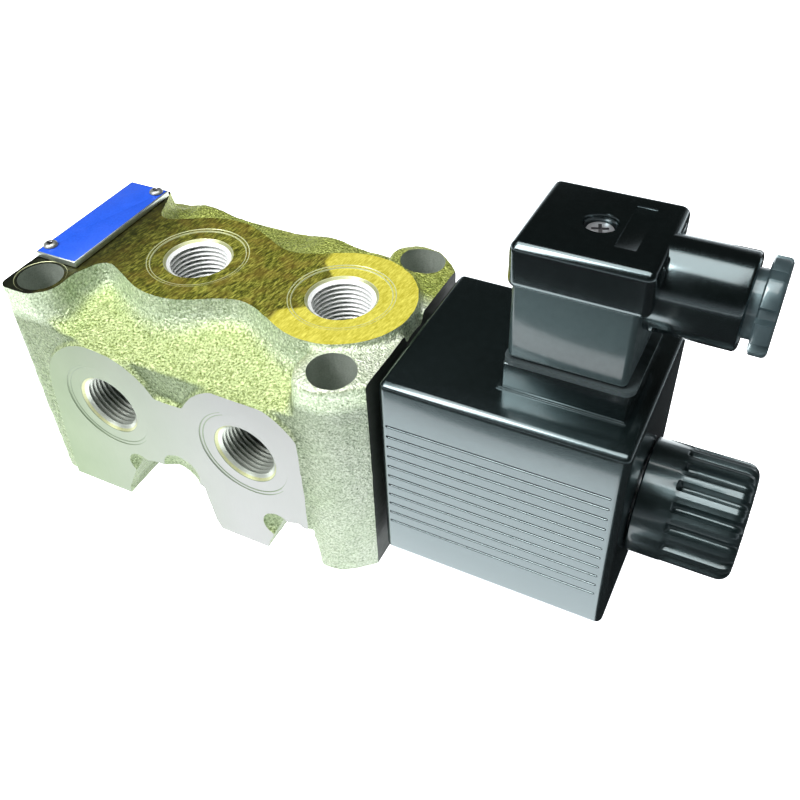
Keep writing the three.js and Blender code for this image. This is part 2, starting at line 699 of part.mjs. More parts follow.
function terminalBlock() {
  const room = 0.3;
  const [x0, x1] = span(HOLLOW.x);
  const block = box([x0 + room, x1 - room], [-HOLLOW.half + room, HOLLOW.half - room], level([40.9, 53]));
  return cut(block, [
    latheZ(rod(level([40, 54]), SCREW_RADIUS + 0.4), [along(PLUG_CENTRE), 0], 16),
    ...Object.values(BLADES).map((blade) => bladeSolid(blade, [40, BLADE.top + 0.5], 0.2)),
  ]);
}

function connectorGasket() {
  const outline = roundedRectangle(span([25, 53]), [-13.6, 13.6], 2.5);
  return cut(extrudeZ(outline, level([39.05, 40.25])), [
    latheZ(rod(level([38, 41]), SCREW_RADIUS + 0.3), [along(PLUG_CENTRE), 0], 16),
    ...Object.values(BLADES).map((blade) => bladeSolid(blade, [38, 41], 0.3)),
  ]);
}

function connectorScrew() {
  const top = SCREW_SEAT + 3.2;
  const profile = [
    [34, 0],
    [34, SCREW_RADIUS],
    [SCREW_SEAT + 0.9, SCREW_RADIUS],
    [SCREW_SEAT + 0.9, SCREW_HEAD_RADIUS],
    [top - 0.3, SCREW_HEAD_RADIUS],
    [top, SCREW_HEAD_RADIUS - 0.3],
    [top, 0],
  ];
  const centre = [along(PLUG_CENTRE), 0];
  const screw = latheZ(profile.map(([z, r]) => [above(z), r]), centre, 24);
  const slot = box([centre[0] - 4, centre[0] + 4], [-0.4, 0.4], level([top - 1, top + 1]));
  return screw.subtract(slot);
}

function addConnector() {
  node('connector_gasket', connectorGasket(), rubber);
  node('connector_housing', connectorHousing(), plugPlastic);
  node('terminal_block', terminalBlock(), innerPlastic);
  node('connector_screw', connectorScrew(), steel);
  const seal = ring(level([SCREW_SEAT + FIT, SCREW_SEAT + 0.8]), SCREW_RADIUS + FIT, SCREW_HEAD_RADIUS - FIT);
  node('screw_seal', latheZ(seal, [along(PLUG_CENTRE), 0], 16), rubber);
}

// ---- cable gland ----
const GLAND_NUT = { shank: 64.1, face: 70.5, end: 74.15, shankRadius: 6.85, radius: 9.7, lobes: 8 };

function glandNut() {
  const centre = [0, above(GLAND_Z)];
  const { shank, face, end, shankRadius, radius, lobes } = GLAND_NUT;
  const blank = latheX([
    [along(shank), CABLE_HOLE],
    [along(shank), shankRadius],
    [along(face), shankRadius],
    [along(face), radius],
    [along(end), radius],
    [along(end), CABLE_HOLE],
    [along(shank), CABLE_HOLE],
  ], centre);
  const gaps = [];
  for (let i = 0; i < lobes; i += 1) {
    const bar = new THREE.BoxGeometry(end - face + 2, 2.2, 2.4);
    bar.translate(along((face + end) / 2), 0, radius);
    bar.rotateX(2 * Math.PI * i / lobes).translate(0, 0, centre[1]);
    gaps.push(solid(bar));
  }
  return cut(blank, gaps);
}

function addGland() {
  const centre = [0, above(GLAND_Z)];
  node('gland_seal', latheX(ring(span([55, 62.5]), 3.9, 7), centre, COARSE), rubber);
  node('gland_washer', latheX(ring(span([62.8, 63.8]), 4.4, 7), centre, COARSE), steel);
  node('gland_nut', glandNut(), plugPlastic);
}

addBody();
addNameplate();
addSpool();
addCoreTube();
addArmature();
addCoil();
addCoilNut();
addConnector();
addGland();

export default model;
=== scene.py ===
import math

import bpy
import numpy as np
import openvdb
from mathutils import Matrix, Vector


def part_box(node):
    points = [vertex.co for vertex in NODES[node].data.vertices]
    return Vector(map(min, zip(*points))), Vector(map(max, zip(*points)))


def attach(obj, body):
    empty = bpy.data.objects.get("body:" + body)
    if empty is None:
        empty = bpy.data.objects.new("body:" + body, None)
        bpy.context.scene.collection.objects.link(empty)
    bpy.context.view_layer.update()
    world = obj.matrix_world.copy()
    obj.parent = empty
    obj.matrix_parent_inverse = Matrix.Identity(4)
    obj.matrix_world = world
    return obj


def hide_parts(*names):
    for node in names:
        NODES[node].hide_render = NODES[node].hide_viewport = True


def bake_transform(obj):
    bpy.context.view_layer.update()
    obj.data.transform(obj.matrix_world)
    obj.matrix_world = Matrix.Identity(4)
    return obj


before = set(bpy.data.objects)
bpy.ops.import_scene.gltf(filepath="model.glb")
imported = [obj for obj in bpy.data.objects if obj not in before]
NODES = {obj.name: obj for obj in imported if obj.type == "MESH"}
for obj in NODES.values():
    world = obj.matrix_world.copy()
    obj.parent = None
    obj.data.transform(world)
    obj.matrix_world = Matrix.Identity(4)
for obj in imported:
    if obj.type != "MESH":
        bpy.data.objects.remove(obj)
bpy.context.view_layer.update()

# Everything below is in millimetres until a mesh is made, which is in metres.
MM = 0.001
MM_PER_M = 1000


def box_mm(node):
    low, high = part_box(node)
    return low * MM_PER_M, high * MM_PER_M


# ---- driving dimensions, read from the frame ----
BODY_LOW, BODY_HIGH = box_mm("valve_body")
COIL_LOW, COIL_HIGH = box_mm("coil_housing")
PLUG_LOW, PLUG_HIGH = box_mm("connector_housing")
NUT_LOW, NUT_HIGH = box_mm("coil_nut")
GLAND_LOW, GLAND_HIGH = box_mm("gland_nut")
PLATE_LOW, PLATE_HIGH = box_mm("nameplate")
SCREW_LOW, SCREW_HIGH = box_mm("connector_screw")
TOP = BODY_HIGH.z
END = BODY_HIGH.x
HALF = BODY_HIGH.y
AXIS_Z = (NUT_LOW.z + NUT_HIGH.z) / 2
COIL_X = COIL_LOW.x
GLAND_Z = (GLAND_LOW.z + GLAND_HIGH.z) / 2

TOP_PORTS = (-11.3, 30.8)
FRONT_PORTS = (-23.0, 19.1)
BACK_PORTS = (-34.7, 7.4)
SIDE_PORT_Z = 34.35
THREAD_MINOR = 7.47
THREAD_MAJOR = 8.33
THREAD_PITCH = 1.337
THREAD_DEPTH = 13.0
MOUTH_RADIUS = 8.87
SPOTFACE_RADIUS = 13.23
CORE_RADIUS = 4.6
BORE_RADIUS = 8.05
BOLT_RADIUS = 5.75
BOLTS = ((41.2, -23.5), (41.2, 23.5), (-42.8, -23.5))
COIL_BOLT_X, COIL_BOLT_Y = BOLTS[1]
END_BOLT = BOLTS[2]
STEP = 0.01  # how far apart two profile points are where a turned shape steps straight in or out

# The casting: how far its faces and edges are from the axes, before machining.
CAST_HALF = HALF - 1.1
SHELF_HIGH = 56.6
FRONT_SHELF_EDGE = 51.9
BACK_SHELF_EDGE = 55.9
BOSS_RADIUS = 18.5
NECK_HALF = 11.6
SIDE_BOSS_RADIUS = 19.7
WEB_TOP = 43.8
PAD_RIGHT = 35.8
CORNER_X = 43.0
CORNER_ANGLE = math.radians(43)
VOXEL = 0.5


# ---- camera, floor and light ----
CAMERA = {"place": (126.9, -153.5, 194.35), "azimuth": 28.29, "elevation": 41.98, "roll": 2.54,
          "lens": 41.57, "shift": (0.0055, -0.0080)}


def add_camera():
    azimuth, elevation, roll = (math.radians(CAMERA[k]) for k in ("azimuth", "elevation", "roll"))
    level = math.cos(elevation)
    forward = Vector((-math.sin(azimuth) * level, math.cos(azimuth) * level, -math.sin(elevation)))
    side = forward.cross(Vector((0, 0, 1))).normalized()
    upright = side.cross(forward)
    right = side * math.cos(roll) - upright * math.sin(roll)
    up = right.cross(forward)
    data = bpy.data.cameras.new("camera")
    data.sensor_width = 36
    data.lens = CAMERA["lens"]
    data.shift_x, data.shift_y = CAMERA["shift"]
    data.clip_start = 0.01
    camera = bpy.data.objects.new("camera", data)
    turn = Matrix((right, up, -forward)).transposed().to_4x4()
    camera.matrix_world = Matrix.Translation(Vector(CAMERA["place"]) * MM) @ turn
    bpy.context.scene.collection.objects.link(camera)
    bpy.context.scene.camera = camera


# Each light: its name, its place and what it points at in metres, its size in metres and its watts.
LIGHTS = (("key", (-0.30, -0.56, 0.84), (0.03, 0, 0.04), (0.34, 0.95), 13.0),
          ("overhead", (0.03, -0.02, 0.90), (0.03, 0.0, 0.03), (0.80, 0.66), 7))


def add_light(name, place, aim, size, watts):
    data = bpy.data.lights.new(name, "AREA")
    data.shape = "RECTANGLE"
    data.size, data.size_y = size
    data.energy = watts
    light = bpy.data.objects.new(name, data)
    light.location = place
    light.rotation_euler = (Vector(aim) - Vector(place)).to_track_quat("-Z", "Y").to_euler()
    bpy.context.scene.collection.objects.link(light)


def add_world():
    """A room that is pale at the horizon and dark overhead, for the reflections."""
    world = bpy.data.worlds.new("studio")
    bpy.context.scene.world = world
    world.use_nodes = True
    nodes, links = world.node_tree.nodes, world.node_tree.links
    background = nodes["Background"]
    place = nodes.new("ShaderNodeTexCoord")
    split = nodes.new("ShaderNodeSeparateXYZ")
    links.new(place.outputs["Generated"], split.inputs[0])
    ramp = nodes.new("ShaderNodeValToRGB")
    stops = ramp.color_ramp.elements
    stops[0].position, stops[0].color = 0.0, (0.55, 0.57, 0.6, 1)
    stops[1].position, stops[1].color = 0.30, (0.02, 0.021, 0.02, 1)
    links.new(split.outputs["Z"], ramp.inputs[0])
    links.new(ramp.outputs[0], background.inputs["Color"])
    background.inputs["Strength"].default_value = 1.0


FLOOR_HALF = 4.0  # metres
FLOOR_DROP = 0.0003  # metres below the valve's feet
FLOOR_GLOW = 1.6


def add_stage():
    half = FLOOR_HALF
    mesh = bpy.data.meshes.new("floor")
    corners = [(-half, -half, 0), (half, -half, 0), (half, half, 0), (-half, half, 0)]
    mesh.from_pydata(corners, [], [(0, 1, 2, 3)])
    floor = bpy.data.objects.new("floor", mesh)
    floor.location.z = -FLOOR_DROP
    bpy.context.scene.collection.objects.link(floor)
    surface, shader = new_surface("floor_paint", roughness=0.9, colour=(0.86, 0.87, 0.88))
    speckle = noise(surface, 60, 3)
    paint(surface, shader, ramp(surface, speckle, [(0.3, (0.84, 0.85, 0.86)), (0.7, (0.88, 0.88, 0.88))]))
    shader.inputs["Emission Color"].default_value = (0.95, 0.97, 1.0, 1)
    shader.inputs["Emission Strength"].default_value = FLOOR_GLOW
    mesh.materials.append(surface)


# Dark cards on the floor, in front and to the right: the low and the high corner of each, in millimetres.
FLAGS = {"flag_front": ((-900, -1400, 1), (107, -88, 2)),
         "flag_right": ((108, -1400, 1), (900, 600, 2))}


def add_flags():
    """Only reflections see the cards."""
    black = new_surface("flag_black", (0.004, 0.004, 0.005), roughness=0.9)[0]
    for name, (low, high) in FLAGS.items():
        card = block(name, low, high, black)
        card.visible_camera = False
        card.visible_diffuse = False
        card.visible_shadow = False


# ---- procedural surfaces ----
def new_surface(name, colour=(0.5, 0.5, 0.5), metal=0.0, roughness=0.5, **sockets):
    surface = bpy.data.materials.new(name)
    surface.use_nodes = True
    shader = surface.node_tree.nodes["Principled BSDF"]
    shader.inputs["Base Color"].default_value = (*colour, 1)
    shader.inputs["Metallic"].default_value = metal
    shader.inputs["Roughness"].default_value = roughness
    for socket, value in sockets.items():
        shader.inputs[socket.replace("_", " ")].default_value = value
    return surface, shader


def add_node(surface, kind, **settings):
    node = surface.node_tree.nodes.new(kind)
    for setting, value in settings.items():
        setattr(node, setting, value)
    return node


def wire(surface, source, target):
    surface.node_tree.links.new(source, target)


def position(surface, stretch=(1, 1, 1), turn=(0, 0, 0)):
    """The place on the piece, in millimetres, turned and stretched."""
    place = add_node(surface, "ShaderNodeTexCoord")
    turned = add_node(surface, "ShaderNodeMapping")
    turned.inputs["Rotation"].default_value = [math.radians(a) for a in turn]
    wire(surface, place.outputs["Object"], turned.inputs["Vector"])
    scaled = add_node(surface, "ShaderNodeMapping")
    scaled.inputs["Scale"].default_value = [MM_PER_M * s for s in stretch]
    wire(surface, turned.outputs[0], scaled.inputs["Vector"])
    return scaled.outputs[0]


def noise(surface, size, detail=2.0, stretch=(1, 1, 1), turn=(0, 0, 0), rough=0.5):
    """Noise whose blotches are about size millimetres across."""
    texture = add_node(surface, "ShaderNodeTexNoise")
    texture.inputs["Scale"].default_value = 1 / size
    texture.inputs["Detail"].default_value = detail
    texture.inputs["Roughness"].default_value = rough
    wire(surface, position(surface, stretch, turn), texture.inputs["Vector"])
    return texture.outputs["Fac"]


def ramp(surface, value, stops):
    node = add_node(surface, "ShaderNodeValToRGB")
    wire(surface, value, node.inputs[0])
    elements = node.color_ramp.elements
    while len(elements) < len(stops):
        elements.new(0.5)
    for element, (at, colour) in zip(elements, stops):
        element.position = at
        element.color = (*colour, 1) if isinstance(colour, tuple) else (colour, colour, colour, 1)
    return node.outputs[0]


def mix(surface, factor, first, second, blend="MIX"):
    node = add_node(surface, "ShaderNodeMix", data_type="RGBA", blend_type=blend)
    for socket, value in ((node.inputs[0], factor), (node.inputs[6], first), (node.inputs[7], second)):
        if isinstance(value, tuple):
            socket.default_value = (*value, 1)
        elif isinstance(value, (int, float)):
            socket.default_value = value
        else:
            wire(surface, value, socket)
    return node.outputs[2]


def split_axis(surface, source, axis):
    split = add_node(surface, "ShaderNodeSeparateXYZ")
    wire(surface, source, split.inputs[0])
    return split.outputs[axis]


def between(surface, value, start, stop, low=0.0, high=1.0):
    """low below start and high above stop, with a straight run between."""
    node = add_node(surface, "ShaderNodeMapRange")
    wire(surface, value, node.inputs["Value"])
    for socket, limit in (("From Min", start), ("From Max", stop), ("To Min", low), ("To Max", high)):
        node.inputs[socket].default_value = limit
    return node.outputs[0]


def span_mask(surface, axis, start, stop):
    """0 before start and 1 after stop, in millimetres along an axis."""
    return between(surface, split_axis(surface, position(surface), axis), start, stop)


def facing_mask(surface, start, stop):
    """0 on walls and 1 on faces that look up."""
    place = add_node(surface, "ShaderNodeTexCoord")
    return between(surface, split_axis(surface, place.outputs["Normal"], "Z"), start, stop)


def both(surface, first, second):
    """The product of two masks."""
    return mix(surface, 1.0, first, second, "MULTIPLY")


def paint(surface, shader, colour):
    wire(surface, colour, shader.inputs["Base Color"])


def roughen(surface, shader, value, low, high):
    wire(surface, between(surface, value, 0.3, 0.7, low, high), shader.inputs["Roughness"])


def emboss(surface, shader, *layers):
    """Each layer is (height from 0 to 1, its full depth in millimetres)."""
    normal = None
    for height, depth in layers:
        node = add_node(surface, "ShaderNodeBump")
        node.inputs["Distance"].default_value = depth * MM
        wire(surface, height, node.inputs["Height"])
        if normal is not None:
            wire(surface, normal, node.inputs["Normal"])
        normal = node.outputs[0]
    wire(surface, normal, shader.inputs["Normal"])


def cast_surface():
    """Plated cast iron: yellow-green on the shoulder, grey-green on the walls, with grains. One plating in
    lit and shaded copies: painted light on the shoulder and the boss flanks, painted shade on the side walls,
    a painted highlight on the fillets by the coil end, and painted glints in the brightest grain specks.
    """
    surface, shader = new_surface("cast_skin", metal=0.62, roughness=0.42)
    grain = noise(surface, 0.55, 2.5, rough=0.65)
    patches = noise(surface, 9, 2)
    # Grain, with its brightest specks standing in for glints: partly real grain, partly painted glints.
    grain_and_glint = ramp(surface, grain, [(0.34, 0.0), (0.50, 0.45), (0.64, 1.0)])
    # Lit and shaded copies of one plating: the shoulder colour is painted light on faces that look up, the
    # flank colour is painted light on the boss flanks above the shoulder, and the wall colour is painted
    # shade on the side walls.
    shelf = mix(surface, grain_and_glint, (0.17, 0.22, 0.05), (0.72, 0.79, 0.45))
    lit_flank = mix(surface, grain_and_glint, (0.34, 0.43, 0.27), (0.92, 0.98, 0.84))
    wall = mix(surface, grain_and_glint, (0.10, 0.14, 0.06), (0.36, 0.42, 0.28))
    ashen = mix(surface, grain_and_glint, (0.22, 0.26, 0.20), (0.50, 0.53, 0.47))
    wall = mix(surface, span_mask(surface, "X", 24, 45), wall, ashen)
    side = mix(surface, span_mask(surface, "Z", 54.5, 57.5), wall, lit_flank)
    body = mix(surface, facing_mask(surface, 0.30, 0.97), side, shelf)
    # Painted highlight: near-white on the tilted fillets just short of the coil end, where the overhead light
    # would glint.
    fillet_highlight = mix(surface, grain_and_glint, (0.42, 0.48, 0.34), (1.0, 1.0, 0.94))
    fillet_highlight_place = both(surface, span_mask(surface, "X", 31, 36), facing_mask(surface, 0.45, 0.75))
    body = mix(surface, fillet_highlight_place, body, fillet_highlight)
    rear = mix(surface, grain_and_glint, (0.14, 0.17, 0.01), (0.62, 0.66, 0.20))
    high_rear = both(surface, span_mask(surface, "Y", 6, 12), span_mask(surface, "Z", 54.5, 55.5))
    body = mix(surface, high_rear, body, rear)
    tint = mix(surface, patches, (0.78, 0.88, 0.70), (1.0, 1.0, 0.98))
    paint(surface, shader, mix(surface, 1.0, body, tint, "MULTIPLY"))
    roughen(surface, shader, grain, 0.26, 0.46)
    emboss(surface, shader, (noise(surface, 1.2, 2), 0.40), (grain, 0.44))
    return surface


def pad_surface():
    """The milled side faces: grey by the coil, turning greener towards the end plug."""
    surface, shader = new_surface("milled_side", metal=0.35)
    marks = noise(surface, 0.35, 3, stretch=(1, 1, 0.12))
    stain = noise(surface, 14, 2)
    worn = mix(surface, 0.6, marks, stain)
    green = mix(surface, worn, (0.12, 0.18, 0.08), (0.20, 0.26, 0.15))
    grey = mix(surface, worn, (0.24, 0.26, 0.24), (0.29, 0.29, 0.29))
    paint(surface, shader, mix(surface, span_mask(surface, "X", -44, 14), green, grey))
    roughen(surface, shader, marks, 0.34, 0.46)
    emboss(surface, shader, (marks, 0.006))
    return surface


def machined_surface(name, dark, light, streak, turn, depth=0.03, metal=0.9, low=0.28, high=0.42):
    """Cut metal with tool marks running one way; streak is how long they are against their width. depth is
    in millimetres, and low and high are the ends of the roughness."""
    surface, shader = new_surface(name, metal=metal)
    marks = noise(surface, 0.35, 3, stretch=(1 / streak, 1, 1), turn=turn)
    stain = noise(surface, 7, 3)
    paint(surface, shader, mix(surface, mix(surface, 0.45, marks, stain), dark, light))
    roughen(surface, shader, marks, low, high)
    emboss(surface, shader, (marks, depth))
    return surface


def top_surface():
    """The milled top is olive and dull, with a bright gold crescent around the port near the coil."""
    surface, shader = new_surface("milled_top", metal=0.4)
    marks = noise(surface, 0.42, 3, stretch=(1, 0.22, 1), turn=(0, 0, 8), rough=0.7)
    stain = noise(surface, 5, 3)
    dull = ramp(surface, marks, [(0.36, (0.030, 0.035, 0.002)), (0.5, (0.14, 0.15, 0.012)),
                                 (0.66, (0.46, 0.46, 0.08))])
    dark = ramp(surface, marks, [(0.36, (0.001, 0.002, 0.001)), (0.5, (0.003, 0.005, 0.001)),
                                 (0.72, (0.02, 0.026, 0.005))])
    brown = mix(surface, marks, (0.05, 0.03, 0.002), (0.36, 0.26, 0.04))
    dull = mix(surface, ramp(surface, stain, [(0.42, 0.0), (0.66, 0.6)]), dull, brown)
    dull = mix(surface, span_mask(surface, "X", -42, -14), dark, dull)
    gold = ramp(surface, marks, [(0.3, (0.50, 0.44, 0.02)), (0.7, (0.86, 0.80, 0.14))])
    crescent = both(surface, span_mask(surface, "X", 19.2, 20.2), mask_off_left(surface))
    paint(surface, shader, mix(surface, crescent, dull, gold))
    roughen(surface, shader, marks, 0.34, 0.50)
    emboss(surface, shader, (marks, 0.04))
    return surface


CRESCENT_LEAN = 1.15  # how far the crescent's end moves along the body for each millimetre across it


def mask_off_left(surface):
    """1 outside the port's left-hand side, where the crescent stops short of its spotface."""
    place = position(surface)
    away = add_node(surface, "ShaderNodeMath", operation="ABSOLUTE")
    wire(surface, split_axis(surface, place, "Y"), away.inputs[0])
    lean = add_node(surface, "ShaderNodeMath", operation="MULTIPLY_ADD")
    wire(surface, away.outputs[0], lean.inputs[0])
    lean.inputs[1].default_value = CRESCENT_LEAN
    wire(surface, split_axis(surface, place, "X"), lean.inputs[2])
    return between(surface, lean.outputs[0], TOP_PORTS[1] + 1.0, TOP_PORTS[1] + 2.2)


PLASTIC_SHINE = {"IOR": 1.8, "Specular_IOR_Level": 0.6, "Specular_Tint": (0.78, 0.97, 1.0, 1),
                 "Coat_Weight": 0.6, "Coat_IOR": 1.7, "Coat_Roughness": 0.10,
                 "Coat_Tint": (0.84, 0.98, 1.0, 1)}


def plastic_surface(name, base, sheen, low, high, grain=0.25, depth=0.015):
    """Moulded plastic: fine grain, faint flow marks and a worn shine."""
    surface, shader = new_surface(name, roughness=0.3, **PLASTIC_SHINE)
    cloud = noise(surface, 5, 3)
    fine = noise(surface, grain, 2)
    paint(surface, shader, mix(surface, cloud, base, sheen))
    roughen(surface, shader, noise(surface, 1.6, 4), low, high)
    emboss(surface, shader, (fine, depth), (noise(surface, 3, 2), 0.008))
    return surface


# How the tool marks are turned, in degrees about X, Y and Z.
UNTURNED = (0, 0, 0)
ACROSS = (0, 0, 90)
AROUND = (90, 0, 90)
UPRIGHT = (0, 90, 0)

# What machined_surface makes each metal from.
METALS = {
    "end": ("milled_end", (0.42, 0.44, 0.38), (0.66, 0.67, 0.6), 8, ACROSS, 0.02),
    "ring": ("ring_cut", (0.30, 0.33, 0.12), (0.74, 0.78, 0.50), 1, UNTURNED, 0.01, 0.3),
    # Painted shade: a darker copy of the ring colour, for the side ports' spotface steps in shade.
    "shaded_side_ring": ("shaded_side_ring_cut", (0.10, 0.14, 0.08), (0.20, 0.25, 0.17), 1, UNTURNED, 0.01, 0.3),
    "thread": ("cut_thread", (0.84, 0.90, 0.86), (1.0, 1.0, 1.0), 1, UNTURNED, 0.01, 0.15),
    # Painted shade: a darker copy of the thread colour, for the shade deep in the side ports.
    "shaded_side_thread": ("shaded_side_thread", (0.30, 0.34, 0.28), (0.62, 0.66, 0.60), 1, UNTURNED, 0.01, 0.7),
    # Painted shade: near black at each thread's root, under the overhang.
    "root_shade": ("thread_root_shade", (0.015, 0.02, 0.02), (0.07, 0.09, 0.08), 1, UNTURNED, 0.01, 0.4),
    "mouth": ("mouth_cut", (0.20, 0.22, 0.08), (0.62, 0.64, 0.38), 1, UNTURNED, 0.01, 0.4),
    "bore": ("drilled_bore", (0.12, 0.16, 0.12), (0.74, 0.80, 0.72), 1, UNTURNED, 0.08, 0.5, 0.36, 0.6),
    "coil_end": ("shaded_end", (0.010, 0.014, 0.012), (0.03, 0.04, 0.03), 8, ACROSS, 0.02, 0.2, 0.5, 0.7),
    "zinc": ("zinc_steel", (0.30, 0.32, 0.30), (0.52, 0.54, 0.50), 6, UNTURNED, 0.03, 0.9, 0.34, 0.5),
    "steel": ("ground_steel", (0.50, 0.51, 0.53), (0.74, 0.75, 0.77), 10, AROUND),
    # Dark steel for the core, armature and yokes, also put inside the rivet holes and screw slots as painted
    # shade.
    "dark_steel": ("dark_steel", (0.14, 0.14, 0.15), (0.32, 0.32, 0.33), 6, UNTURNED),
    "brass": ("turned_brass", (0.56, 0.40, 0.12), (0.84, 0.64, 0.26), 8, AROUND),
    "copper": ("copper_wire", (0.42, 0.17, 0.07), (0.80, 0.36, 0.17), 20, UPRIGHT, 0.2),
    "pale": ("plate_edge", (0.50, 0.58, 0.50), (0.78, 0.84, 0.76), 12, ACROSS, 0.02),
}

# What plastic_surface makes each plastic and rubber from.
PLASTICS = {
    "coil": ("coil_moulding", (0.0005, 0.0015, 0.0012), (0.0015, 0.003, 0.003), 0.23, 0.27),
    "plug": ("plug_moulding", (0.0005, 0.001, 0.001), (0.001, 0.002, 0.002), 0.17, 0.21),
    "knob": ("knob_moulding", (0.001, 0.003, 0.003), (0.003, 0.006, 0.006), 0.29, 0.34),
    "stem": ("stem_moulding", (0.006, 0.012, 0.012), (0.014, 0.022, 0.022), 0.42, 0.55),
    "gland": ("gland_moulding", (0.015, 0.022, 0.025), (0.04, 0.055, 0.06), 0.34, 0.46),
    "inner": ("inner_moulding", (0.06, 0.065, 0.075), (0.10, 0.11, 0.12), 0.4, 0.6),
    "rubber": ("rubber", (0.012, 0.012, 0.012), (0.03, 0.03, 0.03), 0.6, 0.85, 0.3, 0.03),
}


def make_surfaces():
    made = {"cast": cast_surface(), "top": top_surface(), "pad": pad_surface(), "blue": plate_surface()}
    for key, recipe in METALS.items():
        made[key] = machined_surface(*recipe)
    for key, recipe in PLASTICS.items():
        made[key] = plastic_surface(*recipe)
    return made


def plate_surface():
    """The nameplate's blue paint."""
    surface, shader = new_surface("blue_enamel", roughness=0.4, metal=0.15)
    fleck = noise(surface, 0.5, 2)
    paint(surface, shader, mix(surface, fleck, (0.008, 0.060, 0.56), (0.030, 0.14, 0.80)))
    roughen(surface, shader, noise(surface, 2.5, 3), 0.3, 0.5)
    emboss(surface, shader, (fleck, 0.012))
    return surface


# ---- mesh helpers ----
def to_object(name, points, faces, surfaces, indices=None):
    mesh = bpy.data.meshes.new(name)
    mesh.from_pydata((np.asarray(points, float) * MM).tolist(), [], faces)
    for surface in surfaces:
        mesh.materials.append(surface)
    if indices is not None:
        mesh.polygons.foreach_set("material_index", indices)
    mesh.update()
    piece = bpy.data.objects.new(name, mesh)
    bpy.context.scene.collection.objects.link(piece)
    return piece


def apply_modifiers(piece):
    graph = bpy.context.evaluated_depsgraph_get()
    made = bpy.data.meshes.new_from_object(piece.evaluated_get(graph))
    old = piece.data
    piece.modifiers.clear()
    piece.data = made
    bpy.data.meshes.remove(old)
    return piece


def combine(piece, tool, operation="DIFFERENCE"):
    """Joins or cuts closed meshes. A face cut by the tool takes the tool's surface."""
    modifier = piece.modifiers.new("cut", "BOOLEAN")
    modifier.object = tool
    modifier.operation = operation
    modifier.solver = "MANIFOLD"
    modifier.material_mode = "TRANSFER"
    apply_modifiers(piece)
    bpy.data.objects.remove(tool)
    return piece


def smooth(piece, angle=35):
    piece.data.shade_smooth()
    piece.data.set_sharp_from_angle(angle=math.radians(angle))
    return piece


def round_edges(piece, width, steps=4, limit=30):
    modifier = piece.modifiers.new("round", "BEVEL")
    modifier.width = width * MM
    modifier.segments = steps
    modifier.limit_method = "ANGLE"
    modifier.angle_limit = math.radians(limit)
    return apply_modifiers(piece)


def block(name, low, high, surface, rounding=0.0, steps=4):
    (x0, y0, z0), (x1, y1, z1) = low, high
    points = [(x, y, z) for x in (x0, x1) for y in (y0, y1) for z in (z0, z1)]
    faces = [(0, 1, 3, 2), (4, 6, 7, 5), (0, 4, 5, 1), (2, 3, 7, 6), (0, 2, 6, 4), (1, 5, 7, 3)]
    piece = to_object(name, points, faces, [surface])
    return round_edges(piece, rounding, steps) if rounding else piece


AXES = {"X": ((1, 0, 0), (0, 1, 0), (0, 0, 1)), "Y": ((0, 1, 0), (0, 0, 1), (1, 0, 0)),
        "Z": ((0, 0, 1), (1, 0, 0), (0, 1, 0)), "-Y": ((0, -1, 0), (1, 0, 0), (0, 0, 1)),
        "-Z": ((0, 0, -1), (0, 1, 0), (1, 0, 0))}


def turned(name, profile, centre, axis, surfaces, segments=96, bands=None, warp=None, tilt=None):
    """A closed solid of turning. profile is [(distance along the axis, radius)] from one end to the other;
    bands gives each stretch's surface; warp(angle, along, radius) changes the radius."""
    along_axis, first, second = (np.array(a, float) for a in AXES[axis])
    angles = np.arange(segments) * 2 * math.pi / segments
    points = []
    for along, radius in profile:
        radii = warp(angles, along, radius) if warp else np.full(segments, float(radius))
        ring = (np.outer(radii * np.cos(angles), first) + np.outer(radii * np.sin(angles), second)
                + along * along_axis)
        points.append(ring)
    points = np.concatenate(points)
    if tilt is not None:
        points = points @ np.array(tilt).T
    points = points + np.array(centre, float)
    faces, indices = [list(range(segments))[::-1]], [bands[0] if bands else 0]
    for row in range(len(profile) - 1):
        for k in range(segments):
            a, b = row * segments + k, row * segments + (k + 1) % segments
            faces.append((a, b, b + segments, a + segments))
            indices.append(bands[row] if bands else 0)
    last = (len(profile) - 1) * segments
    faces.append([last + k for k in range(segments)])
    indices.append(bands[-1] if bands else 0)
    return to_object(name, points, faces, surfaces, indices)


def tube(name, outer, inner, centre, axis, surface, segments=96, warp=None):
    """A turned ring: outer and inner are profiles that start and end at the same places along the axis."""
    piece = turned(name, outer, centre, axis, [surface], segments, warp=warp)
    (start, _), (stop, _) = inner[0], inner[-1]
    reach = [(start - 1, inner[0][1]), *inner, (stop + 1, inner[-1][1])]
    return combine(piece, turned("tool", reach, centre, axis, [surface], segments))


# ---- the cast body, as a distance field ----
def blend_min(a, b, reach):
    h = np.clip(0.5 + 0.5 * (b - a) / reach, 0, 1)
    return b + (a - b) * h - reach * h * (1 - h)


def blend_max(a, b, reach):
    return -blend_min(-a, -b, reach)


def ease(value):
    t = np.clip(value, 0, 1)
    return t * t * (3 - 2 * t)


def lumps(shape, size, rng):
    """Smooth noise from -1 to 1 with features of about size millimetres."""
    step = size / VOXEL
    coarse = rng.uniform(-1, 1, [int(n / step) + 3 for n in shape])
    for axis, count in enumerate(shape):
        at = np.arange(count) / step
        cell = at.astype(int)
        part = ease(at - cell)
        part = part.reshape([-1 if k == axis else 1 for k in range(3)])
        coarse = np.take(coarse, cell, axis) * (1 - part) + np.take(coarse, cell + 1, axis) * part
    return coarse


END_BLOCK_EDGE = -32.6
END_BLOCK_SLANT = 0.43  # towards both sides the edge runs away from the ports
END_BLOCK_BACK = 24
END_BOLT_LAND = 7.2  # radius of the flat around the end block's bolt hole


